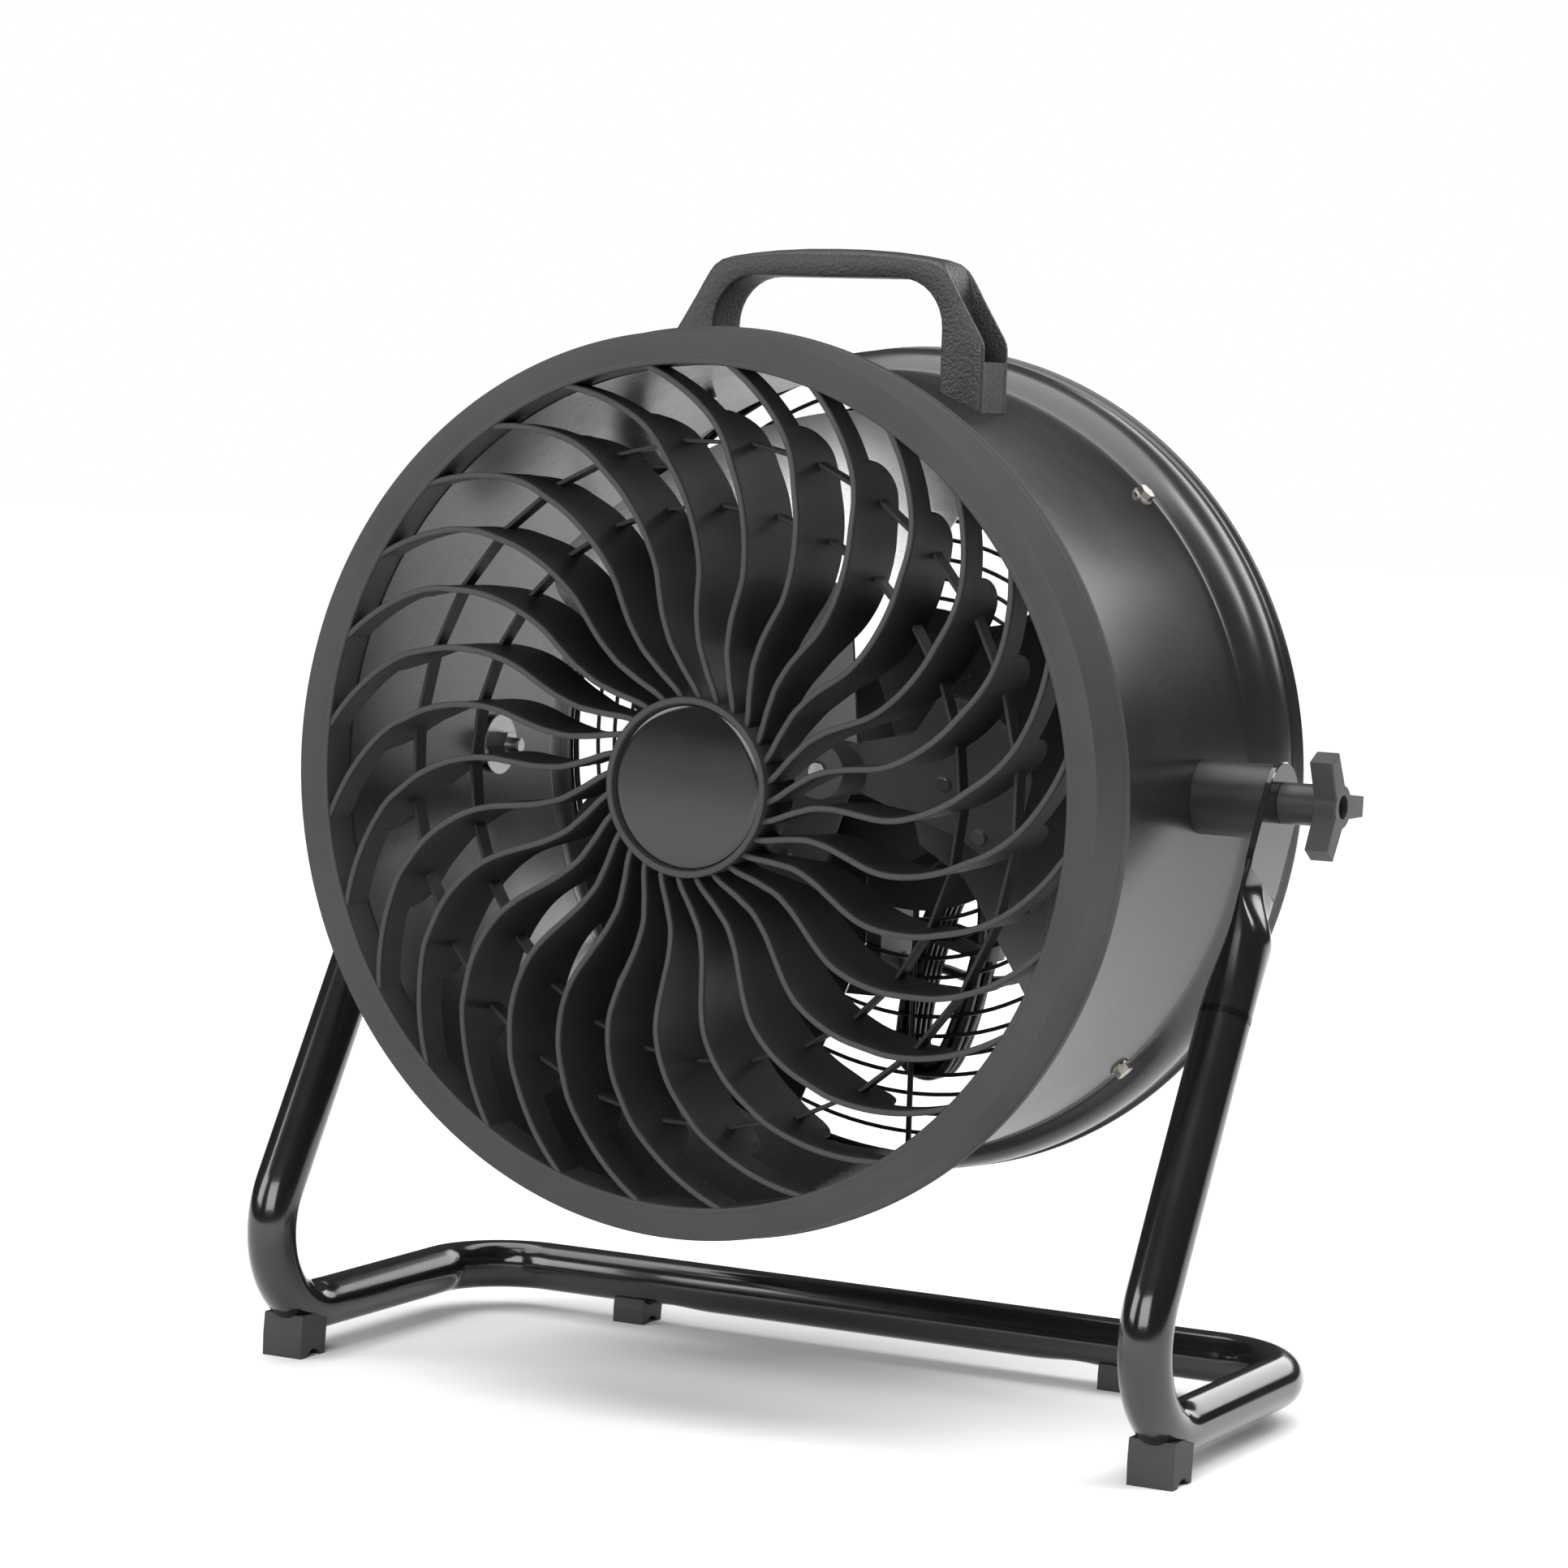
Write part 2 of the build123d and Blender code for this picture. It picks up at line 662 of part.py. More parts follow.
def end_cover(outer_y, inner_y, bearing_y, bore_r):
    """One end cover of the motor: a cup with a bearing seat, from its outer face to the stator."""
    step = CASE_T if inner_y > outer_y else -CASE_T
    profile = [
        (bore_r, outer_y),
        (MOTOR_R - 6, outer_y),
        (MOTOR_R, outer_y + 3 * step),
        (MOTOR_R, inner_y),
        (MOTOR_R - CASE_T, inner_y),
        (MOTOR_R - CASE_T, outer_y + 3.5 * step),
        (MOTOR_R - 7, outer_y + step),
        (BEARING_R + 2, outer_y + step),
        (BEARING_R + 2, bearing_y),
        (BEARING_R, bearing_y),
        (BEARING_R, outer_y + step),
        (bore_r, outer_y + step),
    ]
    with BuildPart() as cover:
        add(turned(profile).part)
        add(bars(MOTOR_BOLTS, MOTOR_BOLT_R + 2.2, *sorted((outer_y + step, inner_y))).part)
        add(bars(MOTOR_BOLTS, MOTOR_BOLT_R, MOTOR_FRONT - 5, MOTOR_BACK + 5).part, mode=Mode.SUBTRACT)
    return cover


front_bearing_y = MOTOR_FRONT + CASE_T
rear_bearing_y = MOTOR_BACK - CASE_T - BEARING_W
motor_front_cover = end_cover(MOTOR_FRONT, STATOR_FRONT, front_bearing_y + BEARING_W, SHAFT_R + 0.6)
save(motor_front_cover, "motor_front_cover")

with BuildPart() as motor_rear_cover:
    add(end_cover(MOTOR_BACK, STATOR_BACK, rear_bearing_y, SHAFT_R + 0.6).part)
    add(bars(MOTOR_SCREWS, MOTOR_SCREW_SHANK + 2, MOTOR_BACK - MOTOR_SCREW_PAD, MOTOR_BACK).part)
    add(bars(MOTOR_SCREWS, MOTOR_SCREW_SHANK, MOTOR_BACK - MOTOR_SCREW_PAD - 1, MOTOR_BACK + 1).part,
        mode=Mode.SUBTRACT)
save(motor_rear_cover, "motor_rear_cover")

with BuildPart() as stator_core:
    add(turned([(STATOR_BORE_R, STATOR_FRONT), (MOTOR_R - 1, STATOR_FRONT),
                (MOTOR_R - 1, STATOR_BACK), (STATOR_BORE_R, STATOR_BACK)]).part)
    add(bars(MOTOR_BOLTS, MOTOR_BOLT_R, STATOR_FRONT - 1, STATOR_BACK + 1).part, mode=Mode.SUBTRACT)
save(stator_core, "stator_core")

with BuildPart() as stator_windings:
    outer = WINDING_R[1] - 3
    for near in (STATOR_FRONT - WINDING_REACH, STATOR_BACK):
        far = near + WINDING_REACH
        add(turned([(WINDING_R[0], near), (outer, near), (outer, far), (WINDING_R[0], far)]).part)
save(stator_windings, "stator_windings")

with BuildPart() as rotor_core:
    add(turned([
        (SHAFT_R, ROTOR_FRONT),
        (ROTOR_R, ROTOR_FRONT),
        (ROTOR_R, ROTOR_BACK),
        (SHAFT_R, ROTOR_BACK),
    ]).part)
save(rotor_core, "rotor_core")

for name, near in (("front_bearing", front_bearing_y), ("rear_bearing", rear_bearing_y)):
    far = near + BEARING_W
    inner = SHAFT_R + BEARING_GAP
    with BuildPart() as bearing:
        add(turned([(inner, near), (BEARING_R, near), (BEARING_R, far), (inner, far)]).part)
    save(bearing, name)

with BuildPart() as motor_bolts:
    add(bars(MOTOR_BOLTS, MOTOR_BOLT_R, MOTOR_FRONT - 1, MOTOR_BACK - 1).part)
    add(bars(MOTOR_BOLTS, 3.8, MOTOR_FRONT - 3, MOTOR_FRONT).part)
save(motor_bolts, "motor_bolts")

with BuildPart() as motor_mount_screws:
    add(bars(MOTOR_SCREWS, MOTOR_SCREW_SHANK, MOTOR_BACK - MOTOR_SCREW_PAD + 1, PLATE_BACK + 1).part)
    add(bars(MOTOR_SCREWS, 4.0, PLATE_BACK, PLATE_BACK + 2.6).part)
save(motor_mount_screws, "motor_mount_screws")

# ---- drum screws and handle ---------------------------------------------------------
HEX_ACROSS = 8.0


def drum_screw(angle):
    """A hex washer-head screw through the drum into one arm of the motor bracket."""
    radial = Vector(cos(radians(angle)), 0, sin(radians(angle)))
    seat = Plane(origin=PIVOT + Vector(0, SCREW_Y, 0) + radial * DRUM_R, x_dir=(0, 1, 0), z_dir=radial)
    with BuildPart() as screw:
        with BuildSketch(seat.offset(-10)):
            Circle(SCREW_R)
        extrude(amount=10.5)
        with BuildSketch(seat.offset(0.02)):
            Circle(5.5)
        extrude(amount=1.3)
        with BuildSketch(seat.offset(1)):
            RegularPolygon(HEX_ACROSS / 2, 6, major_radius=False)
        extrude(amount=4)
    return screw


with BuildPart() as drum_screws:
    for angle in SCREW_ANGLES:
        add(drum_screw(angle).part)
save(drum_screws, "drum_screws")

HANDLE_SHOULDER = (62.5, 251.8)
HANDLE_KINK_Z = 214.5
HANDLE_OPENING_HALF = 63.2
HANDLE_OPENING_TOP = 244.8
HANDLE_OPENING_R = 24.0
HANDLE_SCREW_LENGTH = 14.0

with BuildPart() as handle:
    with BuildSketch(head_plane(HANDLE_FRONT)):
        with BuildLine():
            Polyline(
                (HANDLE_SHOULDER[0], HANDLE_SHOULDER[1]),
                (HANDLE_HALF, HANDLE_KINK_Z),
                (HANDLE_HALF, 170),
                (-HANDLE_HALF, 170),
                (-HANDLE_HALF, HANDLE_KINK_Z),
                (-HANDLE_SHOULDER[0], HANDLE_SHOULDER[1]),
            )
            ThreePointArc((-HANDLE_SHOULDER[0], HANDLE_SHOULDER[1]), (0, HANDLE_TOP),
                          (HANDLE_SHOULDER[0], HANDLE_SHOULDER[1]))
        make_face()
    extrude(amount=HANDLE_FRONT - HANDLE_BACK)
    fillet(handle.edges().filter_by(Axis.Y).group_by(Axis.Z)[-2], 6)
    with BuildSketch(head_plane(HANDLE_FRONT)):
        with Locations((0, HANDLE_OPENING_TOP - 50)):
            RectangleRounded(2 * HANDLE_OPENING_HALF, 100, HANDLE_OPENING_R)
    extrude(amount=HANDLE_FRONT - HANDLE_BACK, mode=Mode.SUBTRACT)
    add(bars([(0, 0)], DRUM_R, HANDLE_FRONT - 1, HANDLE_BACK + 1).part, mode=Mode.SUBTRACT)
    for side in (-1, 1):
        with BuildSketch(handle_screw_plane(side, DRUM_R - 6)):
            Circle(SCREW_R)
        extrude(amount=6 + HANDLE_SCREW_LENGTH, mode=Mode.SUBTRACT)
save(handle, "handle")

with BuildPart() as handle_screws:
    for side in (-1, 1):
        with BuildSketch(handle_screw_plane(side, inner_r - 1.1)):
            Circle(SCREW_R)
        extrude(amount=HANDLE_SCREW_LENGTH)
        with BuildSketch(handle_screw_plane(side, inner_r - 3.2)):
            Circle(4.5)
        extrude(amount=3.15)
save(handle_screws, "handle_screws")

# ---- tilt pivots and clamp knobs ----------------------------------------------------
PLATE_GAP = 0.1             # between the stand's flat ends and what turns against them
WASHER_R = 15.5
WASHER_T = 2.0
NUT_ACROSS = 13.0
NUT_T = 6.5
STUD_END_X = 184.0
KNOB_INSIDE_X = 262.0
WASHER_X = sqrt(inner_r**2 - WASHER_R**2) - 0.02
drum_core = bars([(0, 0)], DRUM_R, -60, 54)


def pivot_spacer(side):
    """The round spacer between the drum and the stand, shaped to the drum."""
    with BuildPart() as spacer:
        add(side_disc(side, SPACER_R, DRUM_R - 4, PLATE_X - PLATE_GAP).part)
        add(drum_core.part, mode=Mode.SUBTRACT)
        add(side_disc(side, STUD_R + 0.4, DRUM_R - 5, PLATE_X).part, mode=Mode.SUBTRACT)
    return spacer


def pivot_washer(side):
    """The large washer inside the drum."""
    with BuildPart() as washer:
        add(side_disc(side, WASHER_R, WASHER_X - WASHER_T, WASHER_X).part)
        add(side_disc(side, STUD_R + 0.4, WASHER_X - WASHER_T - 1, WASHER_X + 1).part, mode=Mode.SUBTRACT)
    return washer


def pivot_nut(side):
    """The nut that takes the clamp stud's thread."""
    with BuildPart() as nut:
        with BuildSketch(side_plane(side * (WASHER_X - WASHER_T - NUT_T))):
            RegularPolygon(NUT_ACROSS / 2, 6, major_radius=False)
            Circle(STUD_R + 0.05, mode=Mode.SUBTRACT)
        extrude(amount=side * NUT_T)
    return nut


def clamp_knob(side):
    """A three-armed clamp knob with its neck and the socket of its stud."""
    root, tip = (width / 2 for width in KNOB_ARM_W)
    with BuildPart() as knob:
        with BuildSketch(side_plane(side * (KNOB_FACE_X - KNOB_DEPTH))):
            Circle(KNOB_NECK_R + 0.4)
            for angle in (KNOB_TURN, KNOB_TURN + 120, KNOB_TURN + 240):
                along = Vector(1, 0).rotate(Axis.Z, angle)
                across = along.rotate(Axis.Z, 90)
                with BuildLine():
                    Polyline(across * -root, along * KNOB_ARM - across * tip,
                             along * KNOB_ARM + across * tip, across * root, close=True)
                make_face()
        extrude(amount=side * KNOB_DEPTH)
        fillet(knob.edges().group_by(Axis.X)[-1 if side > 0 else 0], 0.7)
        add(side_disc(side, KNOB_NECK_R, PLATE_X + PLATE_T + PLATE_GAP, KNOB_FACE_X - KNOB_DEPTH + 1).part)
        add(side_disc(side, STUD_R, PLATE_X, KNOB_INSIDE_X).part, mode=Mode.SUBTRACT)
        add(side_disc(side, KNOB_SOCKET_R, KNOB_INSIDE_X + 3, KNOB_FACE_X + 1).part, mode=Mode.SUBTRACT)
    return knob


def knob_stud(side):
    """The threaded stud fixed in a clamp knob."""
    with BuildPart() as stud:
        add(side_disc(side, STUD_R, STUD_END_X, KNOB_INSIDE_X).part)
        chamfer(stud.edges().filter_by(GeomType.CIRCLE), 0.7)
    return stud


for side_name, side in (("left", -1), ("right", 1)):
    save(pivot_spacer(side), f"pivot_spacer_{side_name}")
    save(pivot_washer(side), f"pivot_washer_{side_name}")
    save(pivot_nut(side), f"pivot_nut_{side_name}")
    save(clamp_knob(side), f"clamp_knob_{side_name}")
    save(knob_stud(side), f"knob_stud_{side_name}")

# ---- switch box ---------------------------------------------------------------------
BOX_X = (-76.0, -22.0)
BOX_Z = (-127.0, -62.0)
BOX_FRONT = 101.6
BOX_BACK = 138.0
COVER_BACK = 141.0
BOX_WALL = 2.0
TAB_X = (-62.0, -30.0)
TAB_Z = (-70.0, -42.0)
COVER_SCREWS = ((-70.0, -68.0), (-30.5, -121.4))
KNOB_PLACE = (-47.0, -118.0)
SPINDLE_R = 3.0
DIAL_R = 12.0
DIAL_BACK = 152.0
GLAND_Z = -112.0
GLAND_Y = 132.0
GLAND_R = 4.4
GLAND_GAP = 0.3

inside_x = (BOX_X[0] + BOX_WALL, BOX_X[1] - BOX_WALL)
inside_z = (BOX_Z[0] + BOX_WALL, BOX_Z[1] - BOX_WALL)


def gland_disc(radius, from_x, to_x, taper=0):
    """A disc about the cord's exit, between two X places of the head."""
    start = Plane(origin=PIVOT + Vector(from_x, GLAND_Y, GLAND_Z), x_dir=(0, 1, 0), z_dir=(1, 0, 0))
    with BuildPart() as made:
        with BuildSketch(start):
            Circle(radius)
        extrude(amount=to_x - from_x, taper=taper)
    return made


with BuildPart() as switch_box:
    add(block(BOX_X, BOX_Z, (BOX_FRONT, BOX_BACK), 4).part)
    add(block(inside_x, inside_z, (BOX_FRONT + BOX_WALL, BOX_BACK + 1), 2.5).part, mode=Mode.SUBTRACT)
    add(block(TAB_X, TAB_Z, (BOX_FRONT, BOX_FRONT + BOX_WALL), 3).part)
    add(bars(BOX_BOSSES, 4.2, PLATE_BACK, BOX_FRONT + 1).part)
    add(bars(BOX_BOSSES, BOX_SCREW_R, PLATE_BACK - 1, BOX_FRONT + 3).part, mode=Mode.SUBTRACT)
    add(bars(COVER_SCREWS, 4.6, BOX_FRONT + 1, BOX_BACK).part)
    add(bars(COVER_SCREWS, BOX_SCREW_R, BOX_BACK - 14, BOX_BACK + 1).part, mode=Mode.SUBTRACT)
    add(gland_disc(GLAND_R + GLAND_GAP, BOX_X[1] - 4, BOX_X[1] + 1).part, mode=Mode.SUBTRACT)
save(switch_box, "switch_box")

with BuildPart() as switch_cover:
    add(block(BOX_X, BOX_Z, (BOX_BACK, COVER_BACK), 4).part)
    fillet(switch_cover.edges().group_by(Axis.Y)[-1], 1.2)
    add(bars(COVER_SCREWS, BOX_SCREW_R, BOX_BACK - 1, COVER_BACK + 1).part, mode=Mode.SUBTRACT)
    add(bars([KNOB_PLACE], SPINDLE_R + 0.4, BOX_BACK - 1, COVER_BACK + 1).part, mode=Mode.SUBTRACT)
save(switch_cover, "switch_cover")

with BuildPart() as cover_screws:
    add(bars(COVER_SCREWS, BOX_SCREW_R, BOX_BACK - 12, COVER_BACK + 0.5).part)
    add(bars(COVER_SCREWS, 3.2, COVER_BACK, COVER_BACK + 2).part)
save(cover_screws, "cover_screws")

with BuildPart() as box_mount_screws:
    add(bars(BOX_BOSSES, BOX_SCREW_R, MOTOR_BACK - 2, BOX_FRONT + BOX_WALL + 0.5).part)
    add(bars(BOX_BOSSES, 3.4, BOX_FRONT + BOX_WALL, BOX_FRONT + BOX_WALL + 2.2).part)
save(box_mount_screws, "box_mount_screws")

with BuildPart() as rotary_switch:
    add(block((-60, -37), (-124.8, -100), (BOX_BACK - 16, BOX_BACK), 2).part)
    add(bars([KNOB_PLACE], SPINDLE_R + 0.06, BOX_BACK - 12, BOX_BACK + 1).part, mode=Mode.SUBTRACT)
    for x in (-56, -41):
        add(block((x - 2.4, x + 2.4), (-113, -112.2), (BOX_BACK - 24, BOX_BACK - 16), 0.2).part)
save(rotary_switch, "rotary_switch")

with BuildPart() as capacitor:
    add(block((-63, -35), (-96, -74), (BOX_FRONT + BOX_WALL, BOX_FRONT + BOX_WALL + 17), 3).part)
save(capacitor, "capacitor")

with BuildPart() as speed_knob:
    add(bars([KNOB_PLACE], DIAL_R, COVER_BACK + 0.5, COVER_BACK + 4).part)
    grip_x = (KNOB_PLACE[0] - 3.2, KNOB_PLACE[0] + 3.2)
    grip_z = (KNOB_PLACE[1] - DIAL_R + 0.5, KNOB_PLACE[1] + DIAL_R - 0.5)
    add(block(grip_x, grip_z, (COVER_BACK + 3, DIAL_BACK), 2.5).part)
    add(bars([KNOB_PLACE], SPINDLE_R, COVER_BACK - 1, DIAL_BACK - 3).part, mode=Mode.SUBTRACT)
save(speed_knob, "speed_knob")

with BuildPart() as switch_spindle:
    add(bars([KNOB_PLACE], SPINDLE_R, BOX_BACK - 11, DIAL_BACK - 3).part)
save(switch_spindle, "switch_spindle")

# ---- cord, hank, tie and plug -------------------------------------------------------
CORD_R = CORD_D / 2
RELIEF_END_X = -2.0
GLAND_FLANGE_R = 5.9
HANK = (45.0, 25.2, 117.0)
HANK_EDGE = 9.0
HANK_LEAN = 14.0            # the top of the hank leans towards +X
HANK_MIDDLE = Vector(14, BOX_FRONT + 1 + HANK[1] / 2, -113)
TIE_T = 1.2
TIE_W = 8.0
TIE_UP = 19.0
LOOP_R = 31.0               # of the polygon the cord's loop is rounded from
LOOP_CORNERS = 8
LOOP_TURN = 225.0
LOOP_MIDDLE = (30.9, -86.1)
LAYER_Y = 9.8               # outermost layers of turns, from the hank's middle

lean = radians(HANK_LEAN)
hank_up = Vector(sin(lean), 0, cos(lean))
hank_across = Vector(cos(lean), 0, -sin(lean))


def hank_plane(up):
    """A plane square to the hank at a height above its middle."""
    return Plane(origin=PIVOT + HANK_MIDDLE + hank_up * up, x_dir=hank_across, z_dir=hank_up)


with BuildPart() as strain_relief:
    add(gland_disc(GLAND_FLANGE_R, BOX_X[1] - 4, BOX_X[1] - BOX_WALL - 0.1).part)
    add(gland_disc(GLAND_R, BOX_X[1] - 3, BOX_X[1] + 1).part)
    add(gland_disc(GLAND_FLANGE_R, BOX_X[1] + 0.1, BOX_X[1] + 2).part)
    add(gland_disc(GLAND_R, BOX_X[1] + 2, RELIEF_END_X, taper=4).part)
    add(gland_disc(CORD_R, BOX_X[1] - 6, RELIEF_END_X + 1).part, mode=Mode.SUBTRACT)
save(strain_relief, "strain_relief")

step = LOOP_TURN / LOOP_CORNERS
corner_r = LOOP_R / cos(radians(step / 2))
cord_route = [
    Vector(BOX_X[1] - 1, GLAND_Y, GLAND_Z),
    Vector(RELIEF_END_X, GLAND_Y, GLAND_Z),
    Vector(17, GLAND_Y, GLAND_Z - 5.5),
]
for index in range(LOOP_CORNERS):
    along, up = polar(corner_r, -90 + step * (index + 0.5))
    share = (1 - cos(radians(180 * max(index - 1, 0) / (LOOP_CORNERS - 2)))) / 2
    inward = (GLAND_Y - HANK_MIDDLE.Y + LAYER_Y) * share
    cord_route.append(Vector(LOOP_MIDDLE[0] + along, GLAND_Y - inward, LOOP_MIDDLE[1] + up))
last_way = polar(corner_r * 0.48, LOOP_TURN)
cord_route.append(cord_route[-1] + Vector(last_way[0], 0, last_way[1]))

cord_radii = []
for before, corner, after in zip(cord_route, cord_route[1:], cord_route[2:]):
    turn = radians((corner - before).get_angle(after - corner))
    shorter = min((corner - before).length, (after - corner).length)
    cord_radii.append(0.45 * shorter / tan(turn / 2))
print("cord radii", [round(radius, 1) for radius in cord_radii])

with BuildPart() as power_cord:
    with BuildLine() as cord_line:
        FilletPolyline(*[PIVOT + point for point in cord_route], radius=cord_radii)
    with BuildSketch(Plane(origin=PIVOT + cord_route[0], z_dir=(1, 0, 0))):
        Circle(CORD_R)
    sweep(path=cord_line.wires()[0])
print("cord length", round(cord_line.wires()[0].length, 1), "volume share",
      round(power_cord.part.volume / (cord_line.wires()[0].length * pi * CORD_R**2), 4))
save(power_cord, "power_cord")

with BuildPart() as cord_hank:
    with BuildSketch(hank_plane(-HANK[2] / 2)):
        RectangleRounded(HANK[0], HANK[1], HANK_EDGE)
    extrude(amount=HANK[2])
    ends = cord_hank.faces().filter_by(Plane(origin=(0, 0, 0), z_dir=hank_up))
    fillet(ends.edges(), HANK_EDGE - 1)
save(cord_hank, "cord_hank")

TIE_LOOP_R = 2.0
TIE_WIRE_R = 0.7
held_ring_r = GUARD_FIRST_R + GUARD_PITCH
tie_spot = Vector(20, 0, -sqrt(held_ring_r**2 - 20**2))
tie_along = Vector(-tie_spot.Z, 0, tie_spot.X).normalized()

with BuildPart() as cord_tie:
    with BuildSketch(hank_plane(TIE_UP - TIE_W / 2)):
        RectangleRounded(HANK[0] + 2 * TIE_T, HANK[1] + 2 * TIE_T, HANK_EDGE + TIE_T)
        RectangleRounded(HANK[0], HANK[1], HANK_EDGE, mode=Mode.SUBTRACT)
    extrude(amount=TIE_W)
    with Locations(Plane(origin=PIVOT + tie_spot + Vector(0, GUARD_Y - 0.2, 0), z_dir=tie_along)):
        Torus(TIE_LOOP_R, TIE_WIRE_R)
save(cord_tie, "cord_tie")

PLUG_START = 8.0            # of the relief, from the hank's middle line
PLUG_UP = 55.7
PLUG_RELIEF = 26.0
PLUG_BODY = (20.0, 24.0, 34.0)
BLADE_PRONG = (6.3, 1.6, 18.0)
EARTH_PRONG_R = 2.4
PRONG_APART = 6.35


def plug_plane(distance):
    """A plane square to the plug, at a distance from the start of its relief."""
    start = PIVOT + HANK_MIDDLE + hank_up * PLUG_UP + Vector(0, LAYER_Y, 0)
    return Plane(origin=start - hank_across * (PLUG_START + distance), x_dir=hank_up, z_dir=-hank_across)


plug_face = PLUG_RELIEF + PLUG_BODY[2]

with BuildPart() as power_plug:
    with BuildSketch(plug_plane(0)):
        Circle(CORD_R + 1)
    with BuildSketch(plug_plane(PLUG_RELIEF)):
        Circle(CORD_R + 3)
    loft()
    with BuildSketch(plug_plane(PLUG_RELIEF)):
        RectangleRounded(PLUG_BODY[0], PLUG_BODY[1], 8)
    extrude(amount=PLUG_BODY[2])
    with BuildSketch(plug_plane(plug_face - 1)):
        with Locations((-2, -PRONG_APART), (-2, PRONG_APART)):
            Rectangle(BLADE_PRONG[0], BLADE_PRONG[1])
        with Locations((6, 0)):
            Circle(EARTH_PRONG_R)
    extrude(amount=BLADE_PRONG[2] + 1)
save(power_plug, "power_plug")
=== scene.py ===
"""Looks of the axial air mover: a drum fan that tilts on a bent-tube stand. In metres, in the CAD frame."""
import json
import math

import bmesh
import bpy
from mathutils import Matrix, Vector


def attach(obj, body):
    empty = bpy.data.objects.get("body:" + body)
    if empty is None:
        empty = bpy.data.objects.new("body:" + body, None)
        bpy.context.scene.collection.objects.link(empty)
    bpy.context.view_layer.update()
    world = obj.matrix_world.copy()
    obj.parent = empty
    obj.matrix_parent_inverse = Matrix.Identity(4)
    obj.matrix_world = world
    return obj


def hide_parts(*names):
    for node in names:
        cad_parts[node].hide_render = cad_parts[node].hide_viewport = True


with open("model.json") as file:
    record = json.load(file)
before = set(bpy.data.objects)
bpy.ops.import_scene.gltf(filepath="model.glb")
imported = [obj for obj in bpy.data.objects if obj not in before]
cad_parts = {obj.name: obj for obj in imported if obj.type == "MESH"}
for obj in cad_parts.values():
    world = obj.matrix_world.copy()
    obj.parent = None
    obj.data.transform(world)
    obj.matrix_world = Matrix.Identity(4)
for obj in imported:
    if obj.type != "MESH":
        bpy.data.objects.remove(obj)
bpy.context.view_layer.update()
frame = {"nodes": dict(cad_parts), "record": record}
joints = {joint["name"]: joint for joint in frame["record"]["behaviour"]["joints"]}
PIVOT = Vector(joints["head_tilt"]["pos_m"])
MM = 0.001


def head(x, y, z):
    """A point given in millimetres from the pivot."""
    return PIVOT + Vector((x, y, z)) * MM


# ---- camera -------------------------------------------------------------------------
CAMERA_AZ = math.radians(27.9035)
CAMERA_EL = math.radians(4.811)
CAMERA_ROLL = math.radians(1.8716)
CAMERA_DISTANCE = 2.3305
CAMERA_TARGET = Vector((-0.0288, PIVOT.y, 0.2986))

back = Vector((math.sin(CAMERA_AZ) * math.cos(CAMERA_EL), -math.cos(CAMERA_AZ) * math.cos(CAMERA_EL),
               math.sin(CAMERA_EL)))
level = Vector((math.cos(CAMERA_AZ), math.sin(CAMERA_AZ), 0))
over = back.cross(level)
right = level * math.cos(CAMERA_ROLL) + over * math.sin(CAMERA_ROLL)
above = over * math.cos(CAMERA_ROLL) - level * math.sin(CAMERA_ROLL)

camera_data = bpy.data.cameras.new("camera")
camera_data.lens = 106.09
camera_data.sensor_width = 36
camera_data.clip_start = 0.05
camera = bpy.data.objects.new("camera", camera_data)
bpy.context.collection.objects.link(camera)
turn = Matrix((right, above, back)).transposed().to_4x4()
camera.matrix_world = Matrix.Translation(CAMERA_TARGET + back * CAMERA_DISTANCE) @ turn
bpy.context.scene.camera = camera

# ---- materials ----------------------------------------------------------------------


